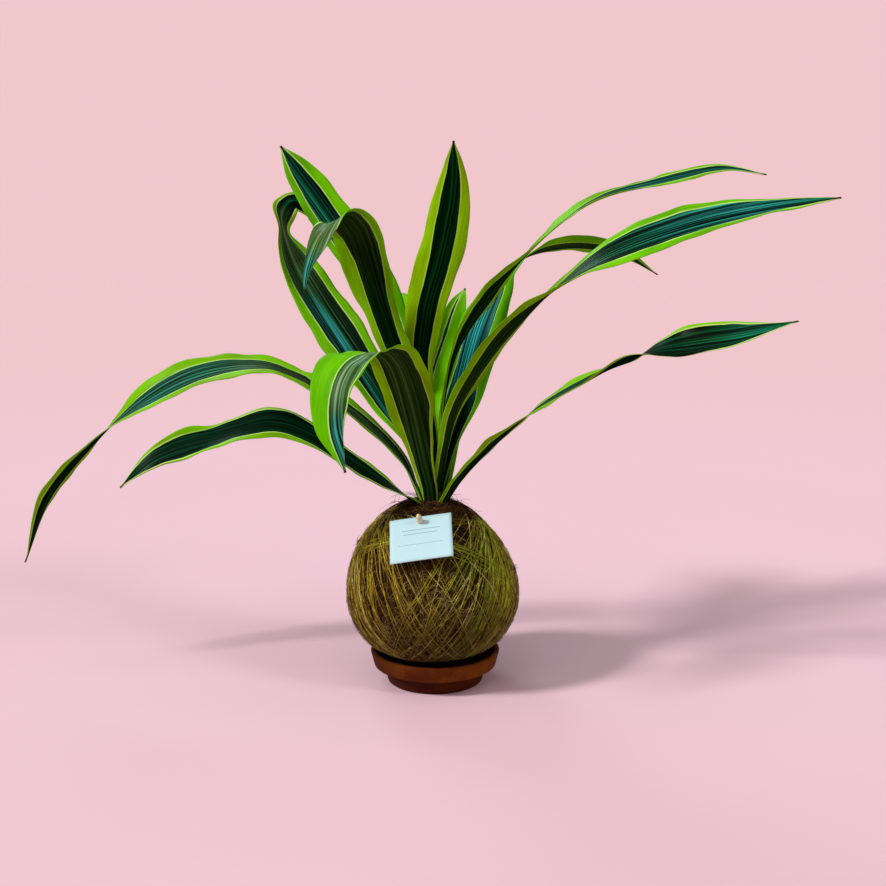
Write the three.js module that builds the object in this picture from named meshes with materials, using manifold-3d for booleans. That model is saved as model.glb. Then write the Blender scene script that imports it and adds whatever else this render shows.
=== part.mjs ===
import * as THREE from "three";
import { mergeVertices } from "three/addons/utils/BufferGeometryUtils.js";
import Module from "manifold-3d";

// A leafy plant in a coir ball bound with thread, which rests in a terracotta saucer.
// Millimetres, +Z up, origin at the centre of the saucer's foot, +X to the right of the card.

const seatGap = 0.3;

const saucerRimRadius = 50;
const saucerHeight = 25;
const saucerWall = 4;
const saucerFloor = 8.7;
const saucerBandBottom = 13;
const saucerBandInset = 2.6;
const saucerFootRadius = 37;
const saucerFootFlare = 3;
const saucerLip = 1.2;
const saucerSides = 40;

const ballCentre = new THREE.Vector3(-2, 0, 69);
const ballRadius = 65.5;
const ballRise = 73;
const ballDrop = 61.5;
const ballBottom = saucerFloor + seatGap;
const wrapThickness = 4;
const crownAngle = THREE.MathUtils.degToRad(19);
const wrapAround = 32;
const wrapDown = 17;
const soilAround = 16;
const soilDown = 9;
const soilTop = 127;
const soilDishShare = 0.9;

const threadRadius = 0.65;
const threadLift = 0.9;
const threadLoops = 10;
const threadSteps = 36;
const threadLean = THREE.MathUtils.degToRad(66);
const threadLeanStep = THREE.MathUtils.degToRad(2.6);
const threadTurn = THREE.MathUtils.degToRad(137.5);
const threadFirstHeading = 0.3;

const stemFoot = 60;
const stemTop = 182;
const stemRadiusLow = 8;
const stemRadiusHigh = 5;
const stemChamfer = 2;
const stemRings = 5;

const bladeThickness = 0.8;
const bladeStations = 24;
const bladeAcross = 4;
const tipHalfWidth = 0.9;
const claspAngle = 0.95;
const troughAngle = 0.35;
const openAngle = 0.25;
const wavesAlong = 3;

const cardWidth = 46;
const cardHeight = 39;
const cardThickness = 0.6;
const cardRoll = THREE.MathUtils.degToRad(14.5);
const cardPolar = THREE.MathUtils.degToRad(41.9);
const cardAzimuth = THREE.MathUtils.degToRad(260.9);
const cardFacingPolar = THREE.MathUtils.degToRad(40.6);
const cardFacingAzimuth = THREE.MathUtils.degToRad(254);
const cardLift = 4.6;
const pegDiameter = 4.4;
const pegLength = 26;
const pegProud = 9;
const pegPoint = 5;
const pegSides = 12;
const pegFromCardTop = 5;

// Each leaf: where it leaves the stem, its half width, how its edges wave, and the points
// that its middle passes, each with the angle that the blade is turned there.
const leaves = [
  {
    name: "leaf_low_left",
    azimuth: 206,
    insertion: 133,
    halfWidth: 14,
    widest: 0.6,
    wave: 1.4,
    path: [
      [-19, -9, 144, 0],
      [-32, -16, 154, -20],
      [-62, -32, 178, -42],
      [-93, -46, 200, -42],
      [-115, -55, 208, -38],
      [-138, -62, 204, -28],
      [-155, -67, 199, -30],
      [-176, -73, 194, -50],
      [-196, -78, 185, -35],
      [-216, -81, 167, -20],
    ],
  },
  {
    name: "leaf_low_right",
    azimuth: 330,
    insertion: 134,
    halfWidth: 12,
    widest: 0.7,
    wave: 1.4,
    path: [
      [12, -8, 148, -4],
      [21, -17, 164, -10],
      [46, -34, 193, -4],
      [75, -48, 219, 14],
      [106, -62, 239, 18],
      [131, -74, 253, -4],
      [153, -82, 263, 28],
      [177, -90, 269, 60],
      [206, -98, 274, 55],
      [238, -104, 282, 30],
    ],
  },
  {
    name: "leaf_front",
    azimuth: 250,
    insertion: 141,
    halfWidth: 21.5,
    widest: 0.45,
    wave: 1.6,
    path: [
      [-6, -10, 153, 0],
      [-10, -17, 172, 0],
      [-16, -34, 203, 0],
      [-21, -56, 229, 0],
      [-27, -76, 250, 0],
      [-35, -92, 260, 5],
      [-47, -106, 260, 5],
      [-59, -116, 252, 0],
      [-65, -123, 236, 0],
      [-65, -130, 213, 0],
      [-56, -134, 187, 0],
    ],
  },
  {
    name: "leaf_long_left",
    azimuth: 178,
    insertion: 136,
    halfWidth: 17,
    widest: 0.5,
    wave: 1.8,
    path: [
      [-16, 1, 152, 0],
      [-26, 6, 173, -14],
      [-48, 14, 195, -24],
      [-81, 22, 219, -18],
      [-113, 27, 236, -8],
      [-139, 30, 242, -20],
      [-177, 30, 238, -42],
      [-213, 28, 223, -42],
      [-257, 24, 191, -3],
      [-301, 18, 142, 15],
      [-320, 10, 90, 15],
    ],
  },
  {
    name: "leaf_back_right",
    azimuth: 66,
    insertion: 137,
    halfWidth: 15,
    widest: 0.5,
    wave: 1.4,
    path: [
      [6, 16, 154, 0],
      [11, 36, 186, 0],
      [17, 64, 226, 0],
      [24, 96, 255, 0],
      [32, 130, 262, 0],
      [38, 158, 246, 0],
      [41, 176, 216, 0],
    ],
  },
  {
    name: "leaf_back_left",
    azimuth: 116,
    insertion: 140.5,
    halfWidth: 14,
    widest: 0.5,
    wave: 1.5,
    path: [
      [-7.8, 12, 158, 0],
      [-17, 30, 198, 0],
      [-27, 54, 246, 0],
      [-33, 84, 282, 0],
      [-39, 118, 296, 0],
      [-46, 148, 280, 0],
      [-51, 166, 248, 0],
    ],
  },
  {
    name: "leaf_broad_right",
    azimuth: 325,
    insertion: 149,
    halfWidth: 17,
    widest: 0.6,
    wave: 1.8,
    path: [
      [5, -5, 161, 0],
      [9, -11, 188, 0],
      [16, -18, 215, -8],
      [33, -25, 246, -13],
      [56, -34, 276, -11],
      [91, -46, 306, 26],
      [123, -56, 327, 48],
      [172, -68, 345, 50],
      [221, -78, 356, 45],
      [268, -86, 362, 35],
    ],
  },
  {
    name: "leaf_small_back",
    azimuth: 90,
    insertion: 157,
    halfWidth: 9.5,
    widest: 0.75,
    wave: 0.8,
    path: [
      [-2, 10, 169, 0],
      [-2.7, 14.3, 188, 0],
      [-3, 20, 210, 0],
      [1, 32, 236, 0],
      [9, 46, 262, 0],
      [17, 57, 286, 0],
      [24, 66, 301, 0],
    ],
  },
  {
    name: "leaf_arched_right",
    azimuth: 50,
    insertion: 145,
    halfWidth: 18,
    widest: 0.35,
    wave: 1.6,
    path: [
      [5.4, 8.6, 159, 0],
      [12.5, 14, 188, 10],
      [21.5, 21.5, 216, 22],
      [28, 28, 242, 30],
      [36, 38, 269, 25],
      [46, 50, 292, 0],
      [58, 64, 313, -25],
      [82, 80, 330, -30],
      [119, 95, 336, -25],
      [156, 108, 330, -20],
      [188, 118, 312, 0],
    ],
  },
  {
    name: "leaf_broad_left",
    azimuth: 157,
    insertion: 153,
    halfWidth: 19,
    widest: 0.45,
    wave: 1.8,
    path: [
      [-13, 4.8, 168, 0],
      [-20, 9, 187, -10],
      [-39, 22, 214, -35],
      [-63, 38, 249, -50],
      [-88, 55, 284, -50],
      [-111, 71, 320, -32],
      [-124, 84, 350, 20],
      [-123, 94, 365, -42],
      [-114, 104, 371, -88],
      [-93, 112, 352, -90],
    ],
  },
  {
    name: "leaf_high_right",
    azimuth: 14,
    insertion: 161.5,
    halfWidth: 13,
    widest: 0.5,
    wave: 1.4,
    path: [
      [6, 2, 178, 0],
      [7.5, 4, 216, -12],
      [18, 11, 258, -36],
      [41, 18, 295, -40],
      [64, 24, 321, -20],
      [99, 32, 353, -4],
      [129, 38, 371, 10],
      [174, 44, 383, 22],
      [221, 49, 393, 30],
      [258, 53, 389, 38],
    ],
  },
  {
    name: "leaf_nodding",
    azimuth: 226,
    insertion: 164,
    halfWidth: 18,
    widest: 0.62,
    wave: 2.8,
    path: [
      [-10, -9, 181, 0],
      [-15, -13, 202, 0],
      [-24, -17, 237, 10],
      [-36, -21, 272, 15],
      [-44, -26, 297, 15],
      [-51, -34, 322, 20],
      [-57, -43, 341, 25],
      [-66, -53, 349, 20],
      [-77, -63, 338, 5],
      [-85, -69, 318, 0],
      [-88, -70, 300, 0],
    ],
  },
  {
    name: "leaf_upper_left",
    azimuth: 135,
    insertion: 169,
    halfWidth: 17,
    widest: 0.74,
    wave: 1.5,
    path: [
      [-9, 7, 186, 0],
      [-16, 12, 210, 0],
      [-23, 18, 247, -15],
      [-32, 25, 277, -30],
      [-45, 31, 304, -35],
      [-59, 35, 327, -35],
      [-75, 39, 349, -35],
      [-90, 42, 370, -35],
      [-104, 45, 389, -30],
      [-119, 47, 410, -20],
    ],
  },
  {
    name: "leaf_upright",
    azimuth: 270,
    insertion: 173,
    halfWidth: 16.8,
    widest: 0.66,
    wave: 1.2,
    path: [
      [-4, -8, 196, 0],
      [-8, -7, 222, 0],
      [-11.5, -6, 246, 0],
      [-10, -5, 268, 0],
      [-5.4, -1, 294, 0],
      [3, 4, 323, 0],
      [11, 9, 358, 0],
      [14, 12, 383, 0],
      [14, 14, 410, 0],
    ],
  },
];

const wasm = await Module();
wasm.setup();

function material(color, roughness) {
  return new THREE.MeshStandardMaterial({ color, roughness, metalness: 0 });
}

const terracotta = material(0xa8522a, 0.85);
const soilBrown = material(0x2d2018, 1);
const coirBrown = material(0x4a2f1c, 0.95);
const threadGreen = material(0x8a8a20, 0.7);
const caneGreen = material(0x5f6a35, 0.7);
const leafGreen = material(0x1f5a24, 0.4);
const cardWhite = material(0xeef3f2, 0.8);
const pegWood = material(0xc9ab78, 0.7);

function named(name, geometry, finish) {
  const mesh = new THREE.Mesh(geometry, finish);
  mesh.name = name;
  return mesh;
}

// Solids

function solidOf(geometry) {
  const plain = geometry.clone();
  plain.deleteAttribute("normal");
  plain.deleteAttribute("uv");
  const merged = mergeVertices(plain, 1e-4);
  return new wasm.Manifold(
    new wasm.Mesh({
      numProp: 3,
      vertProperties: merged.attributes.position.array,
      triVerts: new Uint32Array(merged.index.array),
    }),
  );
}

function geometryOf(solid) {
  const mesh = solid.getMesh();
  const geometry = new THREE.BufferGeometry();
  geometry.setAttribute("position", new THREE.BufferAttribute(mesh.vertProperties, 3));
  geometry.setIndex(new THREE.BufferAttribute(mesh.triVerts, 1));
  return geometry;
}

// A rod along +Z between two heights, turned so that +Z becomes the axis through the point.
function rodAlong(point, axis, radius, low, high, sides) {
  const rod = new THREE.CylinderGeometry(radius, radius, high - low, sides);
  rod.rotateX(Math.PI / 2);
  rod.translate(0, 0, (low + high) / 2);
  rod.applyQuaternion(new THREE.Quaternion().setFromUnitVectors(new THREE.Vector3(0, 0, 1), axis));
  rod.translate(point.x, point.y, point.z);
  return rod;
}

// Saucer

// A narrow foot under a wider band; the inside follows the outside a wall's thickness in.
function saucer() {
  const innerRim = saucerRimRadius - saucerWall;
  const innerFoot = saucerFootRadius - saucerWall;
  const profile = [
    [0, 0],
    [saucerFootRadius, 0],
    [saucerFootRadius + saucerFootFlare, saucerBandBottom],
    [saucerRimRadius - saucerBandInset, saucerBandBottom],
    [saucerRimRadius, saucerHeight - saucerLip],
    [saucerRimRadius - saucerLip, saucerHeight],
    [innerRim + saucerLip, saucerHeight],
    [innerRim, saucerHeight - saucerLip],
    [innerRim - 2, saucerBandBottom + saucerWall + 1.6],
    [innerFoot + saucerFootFlare, saucerBandBottom + 1.4],
    [innerFoot + 1, saucerFloor + 1.5],
    [innerFoot - 0.7, saucerFloor],
    [0, saucerFloor],
  ];
  const points = profile.map(([radius, height]) => new THREE.Vector2(radius, height));
  const turned = new THREE.LatheGeometry(points, saucerSides);
  turned.rotateX(Math.PI / 2);
  return geometryOf(solidOf(turned));
}

// Ball

// Distance from the ball's centre to its skin: flatter below, fuller on the left shoulder.
function skinDistance(polar, azimuth) {
  const across = Math.sin(polar) / ballRadius;
  const upright = Math.cos(polar) / (polar < Math.PI / 2 ? ballRise : ballDrop);
  const shoulder = polar < Math.PI / 2 ? -0.015 - 0.03 * Math.cos(azimuth) : -0.035;
  const lump = 0.007 * Math.sin(3 * azimuth + 0.8) * Math.sin(polar) ** 2;
  return (1 + shoulder * Math.sin(2 * polar) ** 2 + lump) / Math.hypot(across, upright);
}

function direction(polar, azimuth) {
  return new THREE.Vector3(
    Math.sin(polar) * Math.cos(azimuth),
    Math.sin(polar) * Math.sin(azimuth),
    Math.cos(polar),
  );
}

function skinPoint(polar, azimuth, inset) {
  const distance = skinDistance(polar, azimuth) - inset;
  const point = direction(polar, azimuth).multiplyScalar(distance).add(ballCentre);
  point.z = Math.max(point.z, ballBottom + inset);
  return point;
}

// A closed skin of rings round the ball's axis: each ring is a list of points, and the
// first and the last ring are closed by a point each.
function ringsGeometry(rings, first, last) {
  const around = rings[0].length;
  const points = [first, ...rings.flat(), last];
  const index = [];
  for (let i = 0; i < around; i += 1) {
    const next = (i + 1) % around;
    index.push(0, 1 + i, 1 + next);
    const lowest = 1 + around * (rings.length - 1);
    index.push(points.length - 1, lowest + next, lowest + i);
    for (let ring = 0; ring < rings.length - 1; ring += 1) {
      const upper = 1 + around * ring;
      const lower = upper + around;
      index.push(upper + i, lower + i, lower + next);
      index.push(upper + i, lower + next, upper + next);
    }
  }
  const geometry = new THREE.BufferGeometry().setFromPoints(points);
  geometry.setIndex(index);
  return geometry;
}

function ballSkin(around, down, inset, fromPolar) {
  const rings = [];
  for (let ring = 0; ring < down; ring += 1) {
    const polar = fromPolar + ((Math.PI - fromPolar) * ring) / down;
    const points = [];
    for (let i = 0; i < around; i += 1) {
      points.push(skinPoint(polar, (2 * Math.PI * i) / around, inset));
    }
    rings.push(points);
  }
  return rings;
}

function flatCentre(height) {
  return new THREE.Vector3(ballCentre.x, ballCentre.y, height);
}

// The felt: the skin less a coarser inner skin, whose raised centre opens the crown.
function coirWrap(peg) {
  const outer = ballSkin(wrapAround, wrapDown, 0, crownAngle);
  const top = skinPoint(0, 0, 0).z;
  const outside = solidOf(ringsGeometry(outer, flatCentre(top), flatCentre(ballBottom)));
  const inner = ballSkin(soilAround, soilDown, wrapThickness, crownAngle);
  const clearOfTop = flatCentre(top + 5 * wrapThickness);
  const inside = ringsGeometry(inner, clearOfTop, flatCentre(ballBottom + wrapThickness));
  return geometryOf(outside.subtract(solidOf(inside)).subtract(peg));
}

// The soil fills the felt and ends in a flat crown, with a plain hole for the stem.
function soilBall(peg) {
  const inset = wrapThickness + seatGap;
  const rings = ballSkin(soilAround, soilDown, inset, crownAngle);
  const crown = rings[0].map((point) => {
    const drawnIn = point.clone().sub(ballCentre).multiplyScalar(soilDishShare).add(ballCentre);
    return drawnIn.setZ(soilTop);
  });
  const bottom = flatCentre(ballBottom + inset);
  const body = solidOf(ringsGeometry([crown, ...rings], flatCentre(soilTop), bottom));
  const up = new THREE.Vector3(0, 0, 1);
  const hole = rodAlong(flatCentre(0), up, stemRadiusLow + seatGap, stemFoot - seatGap, stemTop, 20);
  return geometryOf(body.subtract(solidOf(hole)).subtract(peg));
}

// Thread

// A loop's plane leans so that it passes close to the crown and the foot but never over them.
function threadLoop(lean, heading, shift) {
  const axis = direction(lean, heading);
  const along = new THREE.Vector3(0, 0, 1).cross(axis).normalize();
  const across = axis.clone().cross(along);
  const points = [];
  for (let i = 0; i < threadSteps; i += 1) {
    const angle = (2 * Math.PI * (i + shift)) / threadSteps;
    const way = along.clone().multiplyScalar(Math.cos(angle)).addScaledVector(across, Math.sin(angle));
    const polar = Math.acos(way.z);
    const distance = skinDistance(polar, Math.atan2(way.y, way.x)) + threadLift;
    points.push(way.multiplyScalar(distance).add(ballCentre));
  }
  return loopTube(points, axis, threadRadius);
}

// A closed thread of three sides through a ring of points that lie in one plane.
function loopTube(points, axis, radius) {
  const corners = [90, 210, 330].map((degrees) => THREE.MathUtils.degToRad(degrees));
  const vertices = [];
  points.forEach((point) => {
    const outward = point.clone().sub(ballCentre).normalize();
    corners.forEach((corner) => {
      const vertex = point.clone().addScaledVector(outward, radius * Math.sin(corner));
      vertices.push(vertex.addScaledVector(axis, radius * Math.cos(corner)));
    });
  });
  const index = [];
  points.forEach((_, i) => {
    const here = 3 * i;
    const there = 3 * ((i + 1) % points.length);
    for (let corner = 0; corner < 3; corner += 1) {
      const next = (corner + 1) % 3;
      index.push(here + corner, there + next, there + corner);
      index.push(here + corner, here + next, there + next);
    }
  });
  const geometry = new THREE.BufferGeometry().setFromPoints(vertices);
  geometry.setIndex(index);
  return geometry;
}

// The loops joined where they cross, less what lies in the peg's way.
function bindingThread(peg) {
  let net = null;
  for (let i = 0; i < threadLoops; i += 1) {
    const lean = threadLean - threadLeanStep * (i % 5);
    const heading = threadFirstHeading + threadTurn * i;
    const loop = solidOf(threadLoop(lean, heading, (i % 3) / 3));
    net = net ? net.add(loop) : loop;
  }
  const pieces = net.subtract(peg).decompose();
  pieces.sort((a, b) => b.volume() - a.volume());
  return geometryOf(pieces[0]);
}

// Stem

function stemRadius(height) {
  const rise = (height - soilTop) / (stemTop - soilTop);
  return THREE.MathUtils.lerp(stemRadiusLow, stemRadiusHigh, THREE.MathUtils.clamp(rise, 0, 1));
}

function stem() {
  const points = [
    new THREE.Vector2(0, stemFoot),
    new THREE.Vector2(stemRadiusLow - stemChamfer, stemFoot),
    new THREE.Vector2(stemRadiusLow, stemFoot + stemChamfer),
  ];
  for (let ring = 0; ring < stemRings; ring += 1) {
    const height = THREE.MathUtils.lerp(soilTop, stemTop, ring / stemRings);
    points.push(new THREE.Vector2(stemRadius(height), height));
  }
  points.push(new THREE.Vector2(stemRadiusHigh, stemTop - stemChamfer));
  points.push(new THREE.Vector2(stemRadiusHigh - stemChamfer, stemTop));
  points.push(new THREE.Vector2(0, stemTop));
  const cane = new THREE.LatheGeometry(points, 16);
  cane.rotateX(Math.PI / 2);
  cane.translate(ballCentre.x, ballCentre.y, 0);
  return geometryOf(solidOf(cane));
}

// Leaves

// Half the blade's width along it: a clasping base, widest at the middle, a drawn-out tip.
function halfWidthAt(leaf, along) {
  const clasp = (claspAngle * seatRadius(leaf)) / leaf.halfWidth;
  const swell = clasp + (1 - clasp) * THREE.MathUtils.smoothstep(along, 0, leaf.widest);
  const taper = 1 - Math.max((along - leaf.widest) / (1 - leaf.widest), 0) ** 2.5;
  return Math.max(leaf.halfWidth * swell * taper, tipHalfWidth);
}

// Half the angle that the trough spans: concentric with the stem near it, shallow further out.
function foldAt(half, along, fromStem) {
  const relaxed = THREE.MathUtils.smoothstep(along, 0.1, 0.4);
  const deepest = THREE.MathUtils.lerp(claspAngle, troughAngle, relaxed);
  return THREE.MathUtils.clamp(half / fromStem, openAngle, deepest);
}

// The waves at the blade's two edges, which run out of step and fade towards base and tip.
function rippleAt(leaf, half, along, across) {
  const reach = leaf.wave * Math.abs(across) ** 3 * Math.min(1, half / 9) * Math.min(1, 4 * along);
  const outOfStep = across > 0 ? 1.9 : 0;
  return reach * Math.sin(2 * Math.PI * wavesAlong * along + leaf.azimuth + outOfStep);
}

// How far the blade's middle surface stands from the stem's axis where it clasps the stem.
function seatRadius(leaf) {
  return stemRadius(leaf.insertion) + seatGap + bladeThickness / 2 + 0.1;
}

function leafPath(leaf) {
  const azimuth = THREE.MathUtils.degToRad(leaf.azimuth);
  const start = new THREE.Vector3(Math.cos(azimuth), Math.sin(azimuth), 0);
  start.multiplyScalar(seatRadius(leaf));
  start.x += ballCentre.x;
  start.z = leaf.insertion;
  const knots = [start, ...leaf.path.map(([x, y, z]) => new THREE.Vector3(x, y, z))];
  const turns = [0, ...leaf.path.map((knot) => knot[3])];
  return {
    middle: new THREE.CatmullRomCurve3(knots, false, "catmullrom", 0.5),
    turn: new THREE.CatmullRomCurve3(
      turns.map((degrees) => new THREE.Vector3(THREE.MathUtils.degToRad(degrees), 0, 0)),
      false,
      "catmullrom",
      0.5,
    ),
  };
}

// The blade's middle surface: a sheet bent across into a trough, which is round the stem at
// the base and shallow further out, with waved edges.
function leafSheet(leaf) {
  const { middle, turn } = leafPath(leaf);
  const azimuth = THREE.MathUtils.degToRad(leaf.azimuth);
  const sideways = new THREE.Vector3(-Math.sin(azimuth), Math.cos(azimuth), 0);
  const sheet = new THREE.PlaneGeometry(2, 1, bladeAcross, bladeStations);
  const position = sheet.attributes.position;
  for (let i = 0; i < position.count; i += 1) {
    const across = position.getX(i);
    const along = THREE.MathUtils.clamp(position.getY(i) + 0.5, 0, 1);
    const time = middle.getUtoTmapping(along);
    const point = middle.getPoint(time);
    const tangent = middle.getTangent(time);
    const side = sideways.clone().addScaledVector(tangent, -sideways.dot(tangent)).normalize();
    side.applyAxisAngle(tangent, turn.getPoint(time).x);
    const face = tangent.clone().cross(side);
    const half = halfWidthAt(leaf, along);
    const fold = foldAt(half, along, Math.hypot(point.x - ballCentre.x, point.y - ballCentre.y));
    const curl = half / fold;
    point.addScaledVector(side, curl * Math.sin(fold * across));
    point.addScaledVector(face, curl * (1 - Math.cos(fold * across)) + rippleAt(leaf, half, along, across));
    position.setXYZ(i, point.x, point.y, point.z);
  }
  return sheet;
}

// A sheet given its thickness: the same triangles on both faces, closed round the rim.
function thickened(sheet, columns, rows, thickness) {
  sheet.computeVertexNormals();
  const position = sheet.attributes.position;
  const normal = sheet.attributes.normal;
  const count = position.count;
  const points = [];
  [1, -1].forEach((facing) => {
    for (let i = 0; i < count; i += 1) {
      const point = new THREE.Vector3().fromBufferAttribute(position, i);
      const outward = new THREE.Vector3().fromBufferAttribute(normal, i);
      points.push(point.addScaledVector(outward, (facing * thickness) / 2));
    }
  });
  const index = Array.from(sheet.index.array);
  for (let i = 0; i < sheet.index.count; i += 3) {
    const [a, b, c] = sheet.index.array.slice(i, i + 3);
    index.push(a + count, c + count, b + count);
  }
  const stride = columns + 1;
  const rim = [];
  for (let i = 0; i < columns; i += 1) rim.push(i);
  for (let i = 0; i < rows; i += 1) rim.push(columns + stride * i);
  for (let i = columns; i > 0; i -= 1) rim.push(i + stride * rows);
  for (let i = rows; i > 0; i -= 1) rim.push(stride * i);
  rim.forEach((here, i) => {
    const there = rim[(i + 1) % rim.length];
    index.push(here, there, there + count);
    index.push(here, there + count, here + count);
  });
  const geometry = new THREE.BufferGeometry().setFromPoints(points);
  geometry.setIndex(index);
  return geometry;
}

function leafBlade(leaf) {
  return thickened(leafSheet(leaf), bladeAcross, bladeStations, bladeThickness);
}

// Card and peg

// The card's middle, which way it faces, and the turn that sets a card flat there. It faces a
// little further to the left than the ball's skin does behind it.
function cardPlace() {
  const distance = skinDistance(cardPolar, cardAzimuth) + cardLift;
  const centre = direction(cardPolar, cardAzimuth).multiplyScalar(distance).add(ballCentre);
  const outward = direction(cardFacingPolar, cardFacingAzimuth);
  const level = new THREE.Vector3(0, 0, 1).cross(outward).normalize();
  const right = level.clone().applyAxisAngle(outward, cardRoll);
  const upward = outward.clone().cross(right);
  const turn = new THREE.Matrix4().makeBasis(right, upward, outward);
  const pegSeat = centre.clone().addScaledVector(upward, cardHeight / 2 - pegFromCardTop);
  return { centre, outward, turn, pegSeat };
}

// A rod down the peg's axis, wide enough to clear the peg, between two heights above the card.
function pegClearance(place, low, high) {
  return solidOf(rodAlong(place.pegSeat, place.outward, pegDiameter / 2 + seatGap, low, high, pegSides));
}

function labelCard(place) {
  const board = new THREE.BoxGeometry(cardWidth, cardHeight, cardThickness);
  board.applyMatrix4(place.turn);
  board.translate(place.centre.x, place.centre.y, place.centre.z);
  return geometryOf(solidOf(board).subtract(pegClearance(place, -pegDiameter, pegDiameter)));
}

// A pointed wooden peg with a rounded head that stands proud of the card.
function labelPeg(place) {
  const radius = pegDiameter / 2;
  const foot = pegProud - pegLength;
  const points = [
    [0, foot],
    [radius * 0.4, foot],
    [radius, foot + pegPoint],
    [radius, pegProud - radius * 0.6],
    [radius * 0.7, pegProud - radius * 0.15],
    [0, pegProud],
  ];
  const rod = new THREE.LatheGeometry(points.map(([r, z]) => new THREE.Vector2(r, z)), pegSides);
  rod.rotateX(Math.PI / 2);
  rod.applyQuaternion(new THREE.Quaternion().setFromUnitVectors(new THREE.Vector3(0, 0, 1), place.outward));
  rod.translate(place.pegSeat.x, place.pegSeat.y, place.pegSeat.z);
  return geometryOf(solidOf(rod));
}

// Assembly

const place = cardPlace();
const pegHole = pegClearance(place, pegProud - pegLength - seatGap, 2 * pegProud);

const ball = new THREE.Group();
ball.add(named("soil_ball", soilBall(pegHole), soilBrown));
ball.add(named("coir_wrap", coirWrap(pegHole), coirBrown));
ball.add(named("binding_thread", bindingThread(pegHole), threadGreen));

const plant = new THREE.Group();
plant.add(named("stem", stem(), caneGreen));
leaves.forEach((leaf) => plant.add(named(leaf.name, leafBlade(leaf), leafGreen)));

const label = new THREE.Group();
label.add(named("label_card", labelCard(place), cardWhite));
label.add(named("label_peg", labelPeg(place), pegWood));

const kokedama = new THREE.Group();
kokedama.add(named("saucer", saucer(), terracotta));
kokedama.add(ball, plant, label);

export default kokedama;
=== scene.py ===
import math

import bmesh
import bpy
import numpy as np
from mathutils import Matrix, Vector, noise


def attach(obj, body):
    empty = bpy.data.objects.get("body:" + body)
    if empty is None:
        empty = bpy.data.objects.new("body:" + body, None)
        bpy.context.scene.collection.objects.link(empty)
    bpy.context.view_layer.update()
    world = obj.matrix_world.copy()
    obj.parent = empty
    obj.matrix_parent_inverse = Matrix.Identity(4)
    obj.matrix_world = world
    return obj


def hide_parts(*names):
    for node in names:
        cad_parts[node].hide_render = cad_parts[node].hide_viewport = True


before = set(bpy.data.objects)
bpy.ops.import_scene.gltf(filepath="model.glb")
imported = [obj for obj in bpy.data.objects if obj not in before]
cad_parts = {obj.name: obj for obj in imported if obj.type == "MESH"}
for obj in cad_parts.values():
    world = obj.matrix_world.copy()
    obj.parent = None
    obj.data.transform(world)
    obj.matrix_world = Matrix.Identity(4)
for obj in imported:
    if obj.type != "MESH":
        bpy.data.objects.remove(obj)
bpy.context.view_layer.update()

scene = bpy.context.scene
mm = 0.001


# Camera and light

cameraSettings = {
    "place": (0.0062, -0.825, 0.312),
    "downDegrees": 8.7,
    "lens": 1100 * 36 / 886,  # the photo's focal length is 1100 of its 886 pixels
}

lightSettings = {
    "key": {"place": (-1, -0.5, 0.85), "spreadDegrees": 10, "power": 3.0, "tint": (1, 0.985, 0.95)},
    "fill": {"place": (1.1, -0.7, 0.75), "spreadDegrees": 12, "power": 0.8, "tint": (1, 0.98, 0.96)},
    "top": {"place": (-0.15, -0.6, 1.6), "spreadDegrees": 50, "power": 0.85, "tint": (0.96, 1, 1)},
    "back": {"place": (-0.5, 1, 0.9), "spreadDegrees": 20, "power": 0.55, "tint": (0.8, 1, 1)},
}

floorSettings = {
    "halfSize": 60.0, "near": (0.705, 0.48, 0.565), "far": (0.703, 0.463, 0.5),
    "backdrop": (0.875, 0.57, 0.6), "ambient": (1.0, 0.85, 0.8), "ambientStrength": 0.21,
}


def addCamera(settings):
    lens = bpy.data.cameras.new("camera")
    lens.sensor_width = 36
    lens.lens = settings["lens"]
    lens.clip_start = 0.01
    camera = bpy.data.objects.new("camera", lens)
    camera.location = settings["place"]
    camera.rotation_euler = (math.radians(90 - settings["downDegrees"]), 0, 0)
    scene.collection.objects.link(camera)
    scene.camera = camera


def addLights(settings):  # wide suns, so that the floor is lit evenly out to where it meets the backdrop
    for name, light in settings.items():
        lamp = bpy.data.lights.new(name, "SUN")
        lamp.angle = math.radians(light["spreadDegrees"])
        lamp.energy = light["power"]
        lamp.color = light["tint"]
        lampObject = bpy.data.objects.new(name, lamp)
        lampObject.location = light["place"]
        lampObject.rotation_euler = (-Vector(light["place"])).to_track_quat("-Z", "Y").to_euler()
        scene.collection.objects.link(lampObject)


addCamera(cameraSettings)
addLights(lightSettings)
scene.view_settings.view_transform = "Standard"
print("camera and lights placed")


# Node helpers


def addNode(tree, kind, values=None, **settings):  # a value is a plain one or a socket to link from
    node = tree.nodes.new("ShaderNode" + kind)
    for name, setting in settings.items():
        setattr(node, name, setting)
    for name, value in (values or {}).items():
        if isinstance(value, bpy.types.NodeSocket):
            tree.links.new(value, node.inputs[name])
        else:
            node.inputs[name].default_value = value
    return node


def calculate(tree, operation, first, second=0.0, third=0.0):
    return addNode(tree, "Math", {0: first, 1: second, 2: third}, operation=operation).outputs[0]


def multiply(tree, first, second):
    return calculate(tree, "MULTIPLY", first, second)


def addShares(tree, first, firstShare, second, secondShare):
    return calculate(tree, "MULTIPLY_ADD", first, firstShare, multiply(tree, second, secondShare))


def remap(tree, value, low, high, toLow=0.0, toHigh=1.0):
    names = {"Value": value, "From Min": low, "From Max": high, "To Min": toLow, "To Max": toHigh}
    return addNode(tree, "MapRange", names, clamp=True, interpolation_type="SMOOTHSTEP").outputs[0]


def blendColours(tree, share, first, second):
    return addNode(tree, "Mix", {0: share, 6: first, 7: second}, data_type="RGBA").outputs[2]


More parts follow.
